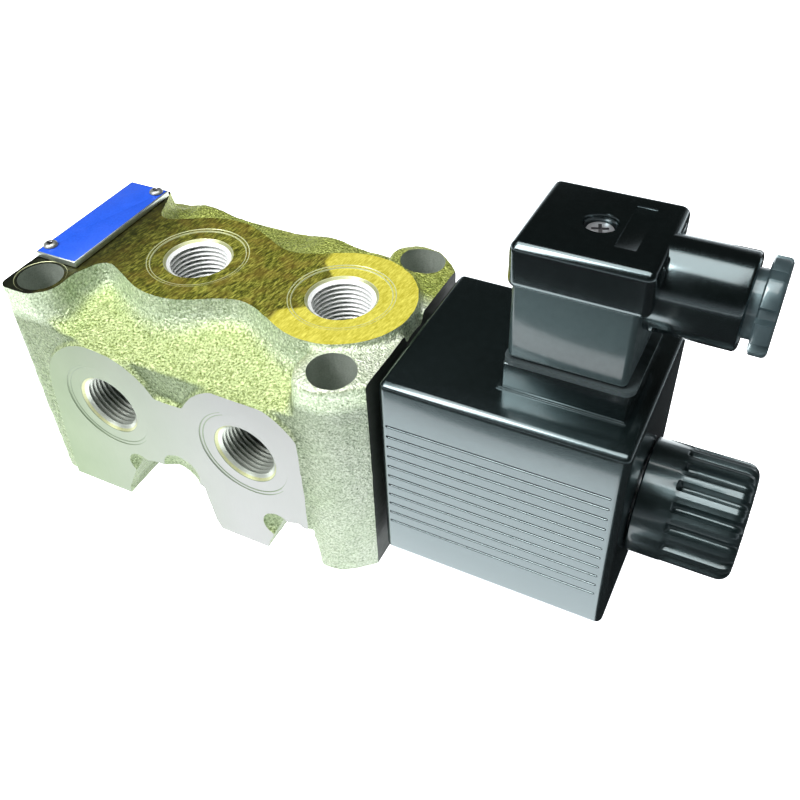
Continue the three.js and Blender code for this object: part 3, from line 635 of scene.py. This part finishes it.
def ridge_outline(x, y):
    """Distance to the flat top: a neck along the body, a boss round each port and the end block."""
    outline = np.maximum(np.abs(y) - NECK_HALF, x - TOP_PORTS[1])
    for port in TOP_PORTS:
        outline = blend_min(outline, np.hypot(x - port, y) - BOSS_RADIUS, 6)
    edge_x = END_BLOCK_EDGE - END_BLOCK_SLANT * np.clip(np.abs(y) - 12, 0, 30)
    hole_x, hole_y = END_BOLT
    end_block = blend_min(x - edge_x, np.hypot(x - hole_x, y - hole_y) - END_BOLT_LAND, 2)
    end_block = np.maximum(end_block, np.where(y > 0, (y - END_BLOCK_BACK) * 0.9, -100))
    return blend_min(outline, end_block, 3)


def bump(x, centre, reach):
    """1 at the centre, falling away smoothly over the reach."""
    return np.exp(-((x - centre) / reach) ** 2)


SHELF_START = 15  # from the middle plane, where the shoulder starts to fall
FRONT_FALL = 17
BACK_FALL = 14
BACK_SWELLS = ((-30, 1.9), (10.5, 1.6))  # place and height of the swells over the back bosses
SWELL_REACH = 7


def shelf_height(x, y):
    """The shoulder falls towards the front edge and stays high at the back, over the side bosses."""
    front_edge = FRONT_SHELF_EDGE + 0.135 * np.clip(-14 - x, 0, 40)
    front = SHELF_HIGH - (SHELF_HIGH - front_edge) * ease((-y - SHELF_START) / FRONT_FALL)
    back_edge = BACK_SHELF_EDGE
    for place, height in BACK_SWELLS:
        back_edge = back_edge + height * bump(x, place, SWELL_REACH)
    back = SHELF_HIGH - (SHELF_HIGH - back_edge) * ease((y - SHELF_START) / BACK_FALL)
    return np.where(y < 0, front, back)


def body_plan(x, deep):
    """The outline seen from above, where deep is the distance from the middle plane."""
    plan = blend_max(deep - CAST_HALF, np.maximum(-END - x, x - END - 2), 3)
    chamfer = (x - CORNER_X) * math.sin(CORNER_ANGLE) + (deep - CAST_HALF) * math.cos(CORNER_ANGLE)
    return blend_max(plan, chamfer, 3.0)


COIL_BOLT_BOSS = 8.9
BOSS_DRAFT = 0.07
LINK_DRAFT = 0.04
CROWN = 62.7


def end_ledge(x, deep, z):
    """The raised end by the coil, with a bolt hole at each corner."""
    corner = np.hypot(x - COIL_BOLT_X, deep - COIL_BOLT_Y) - COIL_BOLT_BOSS - BOSS_DRAFT * (TOP - z)
    link = np.maximum(np.maximum(41.5 - x, 5 - deep), deep - 28) - LINK_DRAFT * (TOP - z)
    crown = CROWN - 0.16 * np.clip(x - 43, 0, 12) - 0.22 * np.clip(deep - 26, 0, 8)
    return blend_max(blend_min(corner, link, 3), (z - crown) * 0.98, LEDGE_BLEND)


RIDGE_FLARE = (0.09, 0.012)  # how the ridge widens below the top: evenly, and with the square of the depth
SHELF_BLEND = 3.6
LEDGE_BLEND = 1.8


def cast_field(x, y, z):
    """The outside of the casting before its hollows."""
    deep = np.abs(y)
    slope = np.clip(TOP - z, -2, 12)
    ridge = ridge_outline(x, y) - RIDGE_FLARE[0] * slope - RIDGE_FLARE[1] * slope ** 2
    ridge = np.maximum(ridge, z - TOP - 1.5)
    shelf = shelf_height(x, y)
    body = blend_min((z - shelf) * 0.96, ridge, SHELF_BLEND)
    body = blend_min(body, end_ledge(x, deep, z), LEDGE_BLEND)
    body = blend_max(body, body_plan(x, deep), 1.0)
    pads = np.maximum(side_pads(x, y, z), z - shelf)
    return blend_min(body, pads, 0.5)


PAD_DRAFT = 0.8
PAD_PAST_PORT = (15, 16.7)  # how far the pads reach past their left and right ports
PAD_LEFT_SLANT = 0.077


def side_pads(x, y, z):
    """The raised flats with the side ports: a boss round each port and the web between and below them."""
    pads = None
    for side, ports in ((-1, FRONT_PORTS), (1, BACK_PORTS)):
        proud = side * y - HALF - 1.2
        draft = PAD_DRAFT * np.clip(side * y - CAST_HALF, -2, 3)
        left = ports[0] - PAD_PAST_PORT[0] - PAD_LEFT_SLANT * (47 - z) + side * 2 - 2
        right = min(ports[1] + PAD_PAST_PORT[1], PAD_RIGHT)
        ends = np.maximum(left - x, x - right) + draft
        for port in ports:
            boss = np.hypot(x - port, z - SIDE_PORT_Z) - SIDE_BOSS_RADIUS + draft
            boss = np.maximum(boss, ends)
            pads = boss_union(pads, np.maximum(boss, proud), side, y)
        web = np.maximum(ends, z - WEB_TOP + draft)
        web = np.where(z > SIDE_PORT_Z, np.maximum(web, np.maximum(ports[0] - x, x - ports[1])), web)
        pads = boss_union(pads, np.maximum(web, proud), side, y)
    return np.maximum(pads, -z - 2)


def boss_union(pads, part, side, y):
    """Adds a part to the pads, on its own side of the body only."""
    part = np.maximum(part, 20 - side * y)
    return part if pads is None else blend_min(pads, part, 0.8)


POCKET_FLOOR = 16  # how far the pockets' floors are from the middle plane
POCKET_BLEND = 1.6
BOLT_WALL = 1.8  # what the pockets leave around the bolt holes

# Shallow as-cast hollows beside the foot pockets: X, Z and the radius where they meet the side face.
HOLLOWS = ((-3.2, 18.6, 5.6), (-17.5, 14.5, 4.0), (25.6, 10.6, 4.6), (34.3, 11.5, 2.6))
HOLLOW_DEPTH = 1.9


def cut_hollows(body, x, y, z):
    for hollow_x, hollow_z, reach in HOLLOWS:
        radius = (reach ** 2 + HOLLOW_DEPTH ** 2) / (2 * HOLLOW_DEPTH)
        centre = HALF + radius - HOLLOW_DEPTH
        ball = np.sqrt((x - hollow_x) ** 2 + (np.abs(y) - centre) ** 2 + (z - hollow_z) ** 2) - radius
        body = np.maximum(body, -ball)
    return body


# Outlines in X and Z of the pockets between the feet.
POCKETS = {
    "wide": ((-25.8, -3), (-24.5, 3), (-17.8, 16.6), (-11.7, 18.4), (-5.7, 18.4), (3.3, 15.2), (4.7, 3),
             (7.4, -3)),
    "narrow": ((20, -3), (22, 3.2), (27.2, 13.4), (32.4, 15), (35, 12), (36.7, -3)),
}


def outline_distance(points, x, z):
    """Signed distance to a closed outline in X and Z, negative inside."""
    nearest = np.full(np.broadcast(x, z).shape, 1e9)
    inside = np.zeros(nearest.shape, bool)
    for (x0, z0), (x1, z1) in zip(points, points[1:] + points[:1]):
        dx, dz = x1 - x0, z1 - z0
        t = np.clip(((x - x0) * dx + (z - z0) * dz) / (dx * dx + dz * dz), 0, 1)
        nearest = np.minimum(nearest, np.hypot(x - x0 - t * dx, z - z0 - t * dz))
        crosses = (z0 > z) != (z1 > z)
        with np.errstate(divide="ignore", invalid="ignore"):
            inside ^= crosses & (x < x0 + (z - z0) * dx / (dz if dz else 1e-9))
    return np.where(inside, -nearest, nearest)


def cut_pockets(body, x, y, z):
    for points in POCKETS.values():
        outline = outline_distance(points, x[:, :, 0], z[0])[:, None, :]
        pocket = np.maximum(outline, POCKET_FLOOR - np.abs(y))
        column = np.hypot(x - COIL_BOLT_X, np.abs(y) - COIL_BOLT_Y) - BOLT_RADIUS - BOLT_WALL
        pocket = np.maximum(pocket, -column)
        body = blend_max(body, -pocket, POCKET_BLEND)
    return cut_hollows(body, x, y, z)


CAST_LUMPS = ((0.13, 7), (0.10, 1.6))  # height and size of the as-cast unevenness
CAST_SEED = 7


def cast_blank(surface):
    """The casting as a mesh, some millimetres too large where it is machined later."""
    margin = 3
    axes = [np.arange(low - margin, high + margin, VOXEL)
            for low, high in zip(BODY_LOW, (END, HALF, TOP))]
    x, y, z = np.meshgrid(*axes, indexing="ij", sparse=True)
    field = cut_pockets(cast_field(x, y, z), x, y, z)
    rng = np.random.default_rng(CAST_SEED)
    for height, size in CAST_LUMPS:
        field = field + height * lumps(field.shape, size, rng)
    grid = openvdb.FloatGrid()
    grid.copyFromArray(field.astype(np.float32))
    points, triangles, quads = grid.convertToPolygons(0.0, 0.0)
    points = points * VOXEL + np.array([a[0] for a in axes])
    faces = [tuple(int(i) for i in face) for group in (quads, triangles) for face in group]
    return to_object("cast_body", points, faces, [surface])


# ---- what is machined into the casting ----
# One thread: how far along its pitch, how open it is there, and whether the stretch before it is root, which
# is painted near black as shade.
THREAD_FORM = ((0.14, 0, False), (0.44, 1, True), (0.54, 1, True), (1.0, 0, False))
THREAD_RUN_IN = 0.46  # pitches between the mouth and the first thread
# The rings turned into a spotface: the share of its depth and the radius.
SPOTFACE_RINGS = ((0.3, 13.15), (0.31, 13.0), (0.33, 12.45), (0.34, 12.28), (1, 12.14))
TOP_SPOT_DEPTH = 0.4
FRONT_SPOT_DEPTH = 0.16
BACK_SPOT_DEPTH = 0.3
SIDE_DRILL_DEPTH = HALF - 4


def port_tool(centre, axis, face, spot_depth, surfaces, tilt=None):
    """The cutter for one port; axis points into the body and face is the depth of its face. surfaces are the
    spotface, its rings, the thread, the thread's root (painted near black as shade), the drilled bore and the
    mouth."""
    plain, ring, thread, root_shade, bore, mouth = range(6)
    profile = [(-2.0, SPOTFACE_RADIUS + 0.6), (-0.05, SPOTFACE_RADIUS + 0.06)]
    profile += [(share * spot_depth, radius) for share, radius in SPOTFACE_RINGS]
    profile += [(spot_depth + 0.001, MOUTH_RADIUS + 0.12), (spot_depth + 0.10, MOUTH_RADIUS)]
    bands = [plain, ring, ring, plain, ring, ring, plain, ring]
    start = spot_depth + 0.11 + MOUTH_RADIUS - THREAD_MAJOR
    profile += [(start, THREAD_MAJOR), (start + THREAD_RUN_IN * THREAD_PITCH, THREAD_MINOR)]
    bands += [mouth, thread]
    for turn in range(int(THREAD_DEPTH / THREAD_PITCH)):
        for part, opened, is_root in THREAD_FORM:
            radius = THREAD_MINOR + (THREAD_MAJOR - THREAD_MINOR) * opened
            profile.append((start + (turn + THREAD_RUN_IN + part) * THREAD_PITCH, radius))
            bands.append(root_shade if is_root else thread)
    bottom = profile[-1][0]
    profile += [(bottom + 0.5, THREAD_MINOR - 0.1), (bottom + 2.6, CORE_RADIUS), (face, CORE_RADIUS)]
    bands += [bore, bore, bore, bore]
    return turned("port_tool", profile, centre, axis, surfaces, 88, bands, tilt=tilt)


def lean(degrees_x, degrees_z):
    turn = Matrix.Rotation(math.radians(degrees_x), 3, "X") @ Matrix.Rotation(math.radians(degrees_z), 3, "Z")
    return [list(row) for row in turn]


FAR = 120  # past the casting on every side
DEEP = 9  # thicker than what is milled off


def body_tools(skin):
    """What is cut from the casting, one closed solid at a time."""
    spot_top = [skin[key] for key in ("top", "ring", "thread", "root_shade", "bore", "mouth")]
    # The side ports take darker copies of the ring and thread colours, as painted shade.
    spot_side = [skin[key] for key in ("pad", "shaded_side_ring", "shaded_side_thread", "root_shade", "bore", "mouth")]
    yield block("tool", (-FAR, -FAR, TOP), (FAR, FAR, TOP + DEEP), skin["top"])
    yield block("tool", (-FAR, -FAR, -DEEP), (FAR, FAR, 0), skin["end"])
    yield block("tool", (END, -FAR, -FAR), (END + DEEP, FAR, FAR), skin["coil_end"])
    yield block("tool", (-FAR, -HALF - DEEP, -FAR), (FAR, -HALF, FAR), skin["pad"])
    yield block("tool", (-FAR, HALF, -FAR), (FAR, HALF + DEEP, FAR), skin["pad"])
    for x in TOP_PORTS:
        yield port_tool((x, 0, TOP), "-Z", TOP - AXIS_Z, TOP_SPOT_DEPTH, spot_top)
    for x in FRONT_PORTS:
        place = (x, -HALF, SIDE_PORT_Z)
        yield port_tool(place, "Y", SIDE_DRILL_DEPTH, FRONT_SPOT_DEPTH, spot_side, lean(0.55, -0.75))
    for x in BACK_PORTS:
        yield port_tool((x, HALF, SIDE_PORT_Z), "-Y", SIDE_DRILL_DEPTH, BACK_SPOT_DEPTH, spot_side)
    for x, y in BOLTS:
        yield turned("tool", [(-3, BOLT_RADIUS), (TOP + 3, BOLT_RADIUS)], (x, y, 0), "Z", [skin["bore"]], 72)
    rim = [(-0.10, BOLT_RADIUS - 0.3), (-0.10, 6.5), (0.0, 6.62), (0.5, 6.65)]
    yield turned("tool", rim, (*END_BOLT, TOP), "Z", [skin["top"], skin["ring"]], 72, [0, 1, 1])
    yield turned("tool", spool_bore(), (0, 0, AXIS_Z), "X", [skin["bore"]], 72)


def spool_bore():
    """From the end plug's seat and thread, through the spool's bore, to the core tube's thread and seat."""
    steps = ((-END - 2, -END + 1.8, 13.6), (-END + 1.8, -END + 8.4, 11),
             (-END + 8.4, END - 12.3, BORE_RADIUS), (END - 12.3, END - 1.8, 12), (END - 1.8, END + 2, 14.2))
    profile = []
    for start, stop, radius in steps:
        profile += [(start + STEP if profile else start, radius), (stop, radius)]
    return profile


def add_body(skin):
    body = cast_blank(skin["cast"])
    for tool in body_tools(skin):
        combine(body, tool)
    smooth(body, 32)
    finish_piece(body, "valve", "cast_iron", "valve_body")


def finish_piece(piece, rides, slot, *stands_for):
    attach(piece, rides)
    if stands_for:
        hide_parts(*stands_for)


# ---- nameplate and rivets ----
RIVETS = ("plate_rivet_front", "plate_rivet_back")
PAINT_EDGE = 0.25  # bare metal around the blue paint
PAINT_RISE = 0.3  # the paint's own edge, a little further in
RIVET_HOLE = 1.3


def add_nameplate(skin):
    low, high = PLATE_LOW, PLATE_HIGH
    plate = block("blue_plate", low, high, skin["pale"], 0.3, 3)
    cover = block("tool", (low.x + PAINT_EDGE, low.y + PAINT_EDGE, high.z - 0.25),
                  (high.x - PAINT_EDGE, high.y - PAINT_EDGE, high.z + 1), skin["blue"])
    combine(plate, cover)
    enamel = block("tool", (low.x + PAINT_RISE, low.y + PAINT_RISE, high.z - 0.4),
                   (high.x - PAINT_RISE, high.y - PAINT_RISE, high.z), skin["blue"], 0.08, 2)
    combine(plate, enamel, "UNION")
    for name in RIVETS:
        x, y, _ = rivet_centre(name)
        hole = [(low.z - 1, RIVET_HOLE), (high.z + 1, RIVET_HOLE)]
        combine(plate, turned("tool", hole, (x, y, 0), "Z", [skin["pale"]], 32))
    smooth(plate)
    finish_piece(plate, "valve", "plate", "nameplate")


def rivet_centre(name):
    low, high = box_mm(name)
    return (low + high) / 2


def add_rivets(skin):
    for name in RIVETS:
        low, high = box_mm(name)
        x, y, _ = rivet_centre(name)
        seat = PLATE_HIGH.z + 0.02
        profile = [(low.z, 1.15), (seat, 1.15), (seat + STEP, 1.75), (seat + 0.25, 1.9), (seat + 0.6, 1.78),
                   (high.z - 0.1, 1.4), (high.z, 1.15)]
        rivet = turned(name + "_tube", profile, (x, y, 0), "Z", [skin["zinc"]], 40)
        hole = [(high.z - 2.6, 0.55), (high.z - 0.25, 0.62), (high.z + 0.3, 1.1)]
        # Painted shade: the rivet's hole is lined with the dark steel colour.
        combine(rivet, turned("tool", hole, (x, y, 0), "Z", [skin["dark_steel"]], 32))
        smooth(rivet)
        finish_piece(rivet, "valve", "steel", name)


# ---- coil ----
CASE_TOP = AXIS_Z + 31.9
CASE_ROUNDING = 1.75
CAVITY_RADIUS = 20.3
TUBE_HOLE_RADIUS = 9.6
PEDESTAL = (COIL_X + 25.2, COIL_X + 51.8, 13.15)  # its two ends and half its width
FOOT = (COIL_X + 24.1, COIL_X + 52.5, 13.8)  # the same for the lip around its foot
FOOT_STEPS = 2
GROOVES = 11
GROOVE_TOP = AXIS_Z + 19.6
GROOVE_PITCH = 3.22
GROOVE_HALF = 0.42
GROOVE_DEPTH = 0.4
GROOVE_ENDS = (COIL_X + 1.75, COIL_X + 53.9)
BLADE_ROOM = Vector((0.1, 0.1, 0.1))


def add_pedestal(coil, surface):
    start, stop, half = PEDESTAL
    rise = block("tool", (start, -half, CASE_TOP - 6), (stop, half, COIL_HIGH.z), surface, 0.35, 3)
    combine(coil, rise, "UNION")
    start, stop, half = FOOT
    for k in range(FOOT_STEPS):
        low = (start + k * 0.4, -half + k * 0.25, CASE_TOP - 4)
        high = (stop - k * 0.4, half - k * 0.25, CASE_TOP + 0.25 + 0.35 * k)
        combine(coil, block("tool", low, high, surface, 0.15, 2), "UNION")


def cut_grooves(coil, surface):
    for side in (-1, 1):
        face = side * COIL_HIGH.y
        for i in range(GROOVES):
            z = GROOVE_TOP - i * GROOVE_PITCH
            low = (GROOVE_ENDS[0], face - GROOVE_DEPTH, z - GROOVE_HALF)
            high = (GROOVE_ENDS[1], face + GROOVE_DEPTH, z + GROOVE_HALF)
            combine(coil, block("tool", low, high, surface, 0.38, 4))


def add_coil(skin):
    plastic = skin["coil"]
    coil = block("coil_case", COIL_LOW, (COIL_HIGH.x, COIL_HIGH.y, CASE_TOP), plastic, CASE_ROUNDING, 6)
    add_pedestal(coil, plastic)
    cut_grooves(coil, plastic)
    wall = COIL_X + 53.6
    cavity = [(COIL_X - 2, CAVITY_RADIUS), (wall, CAVITY_RADIUS), (wall + STEP, TUBE_HOLE_RADIUS),
              (COIL_HIGH.x + 2, TUBE_HOLE_RADIUS)]
    combine(coil, turned("tool", cavity, (0, 0, AXIS_Z), "X", [plastic], 96))
    for name in ("terminal_blade_1", "terminal_blade_2", "earth_blade"):
        low, high = box_mm(name)
        combine(coil, block("tool", low - BLADE_ROOM, high + BLADE_ROOM, plastic))
    low, high = box_mm("screw_insert")
    x = (low.x + high.x) / 2
    hole = [(low.z - 0.1, high.x - x + 0.1), (high.z + 2, high.x - x + 0.1)]
    combine(coil, turned("tool", hole, (x, 0, 0), "Z", [plastic], 40))
    smooth(coil, 30)
    finish_piece(coil, "coil", "coil_plastic", "coil_housing")


# ---- cable connector ----
CAP_ENDS = (COIL_X + 24.8, COIL_X + 53.2)
CAP_BOTTOM = AXIS_Z + 58.1
STEM_ENDS = (COIL_X + 25.8, COIL_X + 51.2)
STEM_HALF = 13
COLLAR_ENDS = (COIL_X + 52, COIL_X + 53.6)
COLLAR_HALF = 8.6
BARREL_START = COIL_X + 48
BARREL_RADIUS = 9.75
THROAT_RADIUS = 6
GLAND_THREAD_RADIUS = 7.3
ROOM_ENDS = (COIL_X + 28.2, COIL_X + 50)
ROOM_HALF = 11.2
WELL_RADIUS = 3.3
MARK_ENDS = (COIL_X + 43.3, COIL_X + 47.5)  # the shallow label recess, left blank


def add_connector(skin):
    low, high = PLUG_LOW, PLUG_HIGH
    centre = (0, 0, GLAND_Z)
    hood = skin["plug"]
    stem = block("plug_case", (STEM_ENDS[0], -STEM_HALF, low.z), (STEM_ENDS[1], STEM_HALF, CAP_BOTTOM + 3),
                 skin["stem"], 1.3, 4)
    cap = block("tool", (CAP_ENDS[0], low.y, CAP_BOTTOM), (CAP_ENDS[1], high.y, high.z), hood, 1.9, 6)
    combine(stem, cap, "UNION")
    collar = block("tool", (COLLAR_ENDS[0], -COLLAR_HALF, CAP_BOTTOM - 5.6),
                   (COLLAR_ENDS[1], COLLAR_HALF, high.z - 1.2), hood, 0.5, 3)
    combine(stem, collar, "UNION")
    barrel = [(BARREL_START, BARREL_RADIUS), (COIL_X + 67.9, BARREL_RADIUS), (COIL_X + 68.4, 9.5),
              (COIL_X + 68.7, 8.9)]
    combine(stem, turned("tool", barrel, centre, "X", [hood], 96), "UNION")
    room = block("tool", (ROOM_ENDS[0], -ROOM_HALF, low.z - 2), (ROOM_ENDS[1], ROOM_HALF, AXIS_Z + 62.5),
                 skin["inner"], 1, 3)
    combine(stem, room)
    throat = [(BARREL_START, THROAT_RADIUS), (COIL_X + 54.7, THROAT_RADIUS),
              (COIL_X + 54.7 + STEP, GLAND_THREAD_RADIUS), (COIL_X + 71, GLAND_THREAD_RADIUS)]
    combine(stem, turned("tool", throat, centre, "X", [skin["inner"]], 64))
    x = (SCREW_LOW.x + SCREW_HIGH.x) / 2
    well = [(AXIS_Z + 60, 1.7), (AXIS_Z + 64, 1.7), (AXIS_Z + 64 + STEP, WELL_RADIUS),
            (high.z - 0.5, WELL_RADIUS), (high.z + 1, 4.1)]
    combine(stem, turned("tool", well, (x, 0, 0), "Z", [hood], 64))
    mark = block("tool", (MARK_ENDS[0], -7.0, high.z - 0.3), (MARK_ENDS[1], 9.1, high.z + 1), hood, 0.12, 2)
    combine(stem, mark)
    smooth(stem, 30)
    finish_piece(stem, "coil", "plug_plastic", "connector_housing")


SCREW_SHANK = 1.45
SCREW_HEAD = 2.9
CROSS_TURNS = (18, 108)  # degrees
CROSS_HALF = (1.7, 0.36)


def add_screw(skin):
    low, high = SCREW_LOW, SCREW_HIGH
    x = (low.x + high.x) / 2
    seat = AXIS_Z + 64.9
    profile = [(low.z, 1.1), (low.z + 0.4, SCREW_SHANK), (seat, SCREW_SHANK), (seat + STEP, 2.7),
               (seat + 0.2, SCREW_HEAD), (high.z - 0.55, SCREW_HEAD), (high.z - 0.15, 2.7), (high.z, 2.2)]
    screw = turned("plug_screw", profile, (x, 0, 0), "Z", [skin["steel"]], 64)
    length, width = CROSS_HALF
    for turn in CROSS_TURNS:
        # Painted shade: the cross slots are lined with the dark steel colour.
        slot = block("tool", (-length, -width, high.z - 1.1), (length, width, high.z + 1), skin["dark_steel"])
        slot.data.transform(Matrix.Translation((x * MM, 0, 0)) @ Matrix.Rotation(math.radians(turn), 4, "Z"))
        combine(screw, slot)
    smooth(screw)
    finish_piece(screw, "screw", "steel", "connector_screw")


# ---- gland nut and coil nut ----
LOBES = 8
LOBE_GAP_DEPTH = 1.75
GLAND_SHANK = 6.85
GLAND_HOLE = 4.3
FLUTES = 17
FLUTE_DEPTH = 1.45
FLUTE_WIDTH = 0.46  # of half the distance between two flutes
FLUTE_RUN_IN = 1.4
FLUTE_START = NUT_LOW.x + 7.4
FLUTE_LAND = 0.18  # how much lower the lands are than the collar
NUT_ROUNDING = 2.9
NUT_BORE = 9.5
NUT_MOUTH = 4.2


def share_of_pitch(angles, count):
    """0 in the middle of each of count equal sectors and 1 where two of them meet."""
    return np.abs(((angles / (2 * math.pi) * count) % 1.0) - 0.5) * 2


def add_gland_nut(skin):
    start, stop = GLAND_LOW.x, GLAND_HIGH.x
    face = COIL_X + 70.5
    radius = GLAND_HIGH.z - GLAND_Z

    def warp(angles, along, r):
        if r <= GLAND_SHANK + STEP:
            return np.full(len(angles), float(r))
        gap = ease((0.40 - share_of_pitch(angles, LOBES)) / 0.10)
        return r - LOBE_GAP_DEPTH * gap * min(1.0, (r - GLAND_SHANK) / 2)

    outer = [(start, GLAND_SHANK), (face, GLAND_SHANK), (face + STEP, radius - 0.5),
             (face + 0.35, radius - 0.05), (face + 0.7, radius), (stop - 0.8, radius),
             (stop - 0.3, radius - 0.25), (stop, radius - 0.9)]
    inner = [(start, GLAND_HOLE), (stop, GLAND_HOLE)]
    nut = tube("gland_cap", outer, inner, (0, 0, GLAND_Z), "X", skin["gland"], 192, warp)
    cone = [(stop - 1.0, 4.2), (stop + 0.4, 6.4)]
    combine(nut, turned("tool", cone, (0, 0, GLAND_Z), "X", [skin["plug"]], 64))
    smooth(nut, 28)
    finish_piece(nut, "gland", "plug_plastic", "gland_nut")


def add_coil_nut(skin):
    start, stop = NUT_LOW.x, NUT_HIGH.x
    radius = NUT_HIGH.z - AXIS_Z
    centre = (0, 0, AXIS_Z)
    knob = [skin["knob"]]

    def warp(angles, along, r):
        run_in = ease((along - FLUTE_START) / FLUTE_RUN_IN)
        phase = share_of_pitch(angles, FLUTES)
        dip = np.sqrt(np.clip(1 - (phase / FLUTE_WIDTH) ** 2, 0, 1))
        crown = FLUTE_LAND * ((phase - FLUTE_WIDTH) / (1 - FLUTE_WIDTH)) ** 2 * (phase > FLUTE_WIDTH)
        return r - run_in * (FLUTE_DEPTH * dip - crown + FLUTE_LAND) * min(1.0, r / radius)

    outer = [(start, radius - 0.35), (start + 0.35, radius), (FLUTE_START, radius)]
    run_in_steps = 6
    outer += [(FLUTE_START + FLUTE_RUN_IN * k / run_in_steps, radius) for k in range(1, run_in_steps + 1)]
    outer += [(FLUTE_START + 4, radius), (stop - NUT_ROUNDING - 3, radius)]
    corner_steps = 8
    for k in range(corner_steps + 1):
        a = k / corner_steps * math.pi / 2
        along = stop - NUT_ROUNDING + NUT_ROUNDING * math.sin(a)
        outer.append((along, radius - NUT_ROUNDING + NUT_ROUNDING * math.cos(a)))
    nut = turned("coil_cap", outer, centre, "X", knob, FLUTES * 24, warp=warp)
    wall = COIL_X + 75.6
    bore = [(start - 1, NUT_BORE), (wall, NUT_BORE), (wall + STEP, NUT_MOUTH), (stop + 1, NUT_MOUTH)]
    combine(nut, turned("tool", bore, centre, "X", [skin["inner"]], 64))
    groove = turned("tool", [(start - 1, 12.6), (start + 1.7, 12.6)], centre, "X", knob, 64)
    combine(groove, turned("tool2", [(start - 2, 10.4), (start + 3, 10.4)], centre, "X", knob, 64))
    combine(nut, groove)
    dish = [(stop - 0.8, 6.5), (stop + 0.3, 8.6)]
    combine(nut, turned("tool", dish, centre, "X", knob, 64))
    smooth(nut, 32)
    finish_piece(nut, "nut", "plug_plastic", "coil_nut")


# ---- end plug ----
HEX_CORNER = 15.5
PLUG_SHANK = 10.85
SPRING_ROOM = 7.2


def add_end_plug(skin):
    low, high = box_mm("end_plug")
    centre = (0, 0, AXIS_Z)
    zinc = [skin["zinc"]]
    angles = [math.pi / 3 * k for k in range(6)]
    corners = [(HEX_CORNER * math.cos(angle), HEX_CORNER * math.sin(angle)) for angle in angles]
    points = [(x, y, AXIS_Z + z) for x in (low.x, -END - 0.3) for y, z in corners]
    faces = [tuple(range(6))[::-1], tuple(range(6, 12))]
    faces += [(k, (k + 1) % 6, (k + 1) % 6 + 6, k + 6) for k in range(6)]
    plug = to_object("hex_plug", points, faces, zinc)
    chamfer = [(low.x - 0.01, 13.0), (low.x + 0.9, HEX_CORNER - 0.6), (low.x + 1.8, HEX_CORNER + 1),
               (-END + 2, HEX_CORNER + 1)]
    combine(plug, turned("tool", chamfer, centre, "X", zinc, 96), "INTERSECT")
    shank = [(-END - 2, PLUG_SHANK), (high.x - 0.6, PLUG_SHANK), (high.x, 10.3)]
    combine(plug, turned("tool", shank, centre, "X", zinc, 72), "UNION")
    room = [(-END - 3.2, SPRING_ROOM), (high.x + 1, SPRING_ROOM)]
    combine(plug, turned("tool", room, centre, "X", [skin["steel"]], 64))
    dish = [(low.x - 1, 6.4), (low.x + 0.5, 5.6)]
    combine(plug, turned("tool", dish, centre, "X", zinc, 64))
    smooth(plug, 25)
    finish_piece(plug, "valve", "steel", "end_plug")


# ---- return spring: a fixed coil of wire; in the valve one end rests in the plug and the other moves with the spool ----
WIRE_RADIUS = 0.6
SPRING_TURNS = 4.5
STEPS_PER_TURN = 40
WIRE_SIDES = 12


def add_return_spring(skin):
    low, high = box_mm("return_spring")
    coil_radius = high.y - WIRE_RADIUS
    reach = high.x - low.x - 2 * WIRE_RADIUS
    sides = WIRE_SIDES
    steps = int(SPRING_TURNS * STEPS_PER_TURN)
    along = np.array([1, 0, 0])
    points, faces = [], []
    for i in range(steps + 1):
        part = i / steps
        angle = 2 * math.pi * SPRING_TURNS * part
        outward = np.array([0, math.cos(angle), math.sin(angle)])
        middle = np.array([low.x + WIRE_RADIUS + reach * part, 0, AXIS_Z]) + coil_radius * outward
        for k in range(sides):
            turn = 2 * math.pi * k / sides
            points.append(middle + WIRE_RADIUS * (math.cos(turn) * outward + math.sin(turn) * along))
    for i in range(steps):
        for k in range(sides):
            a, b = i * sides + k, i * sides + (k + 1) % sides
            faces.append((a, a + sides, b + sides, b))
    faces += [tuple(range(sides)), tuple(range(steps * sides, (steps + 1) * sides))[::-1]]
    spring = smooth(to_object("spring_wire", points, faces, [skin["steel"]]), 60)
    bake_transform(spring)
    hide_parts("return_spring")


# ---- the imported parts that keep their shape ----
KEPT = {
    "steel": ("spool", "spring_seat", "push_pin", "core_tube", "gland_washer"),
    "dark_steel": ("pole_core", "armature", "yoke_plate_front", "yoke_plate_back", "yoke_ring"),
    "brass": ("override_pin", "terminal_blade_1", "terminal_blade_2", "earth_blade", "screw_insert"),
    "copper": ("coil_winding",),
    "inner": ("coil_bobbin", "terminal_block"),
    "rubber": ("end_plug_oring", "core_tube_oring", "coil_seal_ring", "coil_nut_oring", "connector_gasket",
               "screw_seal", "gland_seal"),
}


def dress_kept_nodes(skin):
    for surface, names in KEPT.items():
        for name in names:
            for place in NODES[name].material_slots:
                place.material = skin[surface]


add_camera()
add_world()
add_stage()
for light in LIGHTS:
    add_light(*light)
add_flags()
SKIN = make_surfaces()
add_body(SKIN)
add_nameplate(SKIN)
add_rivets(SKIN)
add_end_plug(SKIN)
add_coil(SKIN)
add_connector(SKIN)
add_screw(SKIN)
add_gland_nut(SKIN)
add_coil_nut(SKIN)
add_return_spring(SKIN)
dress_kept_nodes(SKIN)
bpy.context.scene.view_settings.view_transform = "Standard"
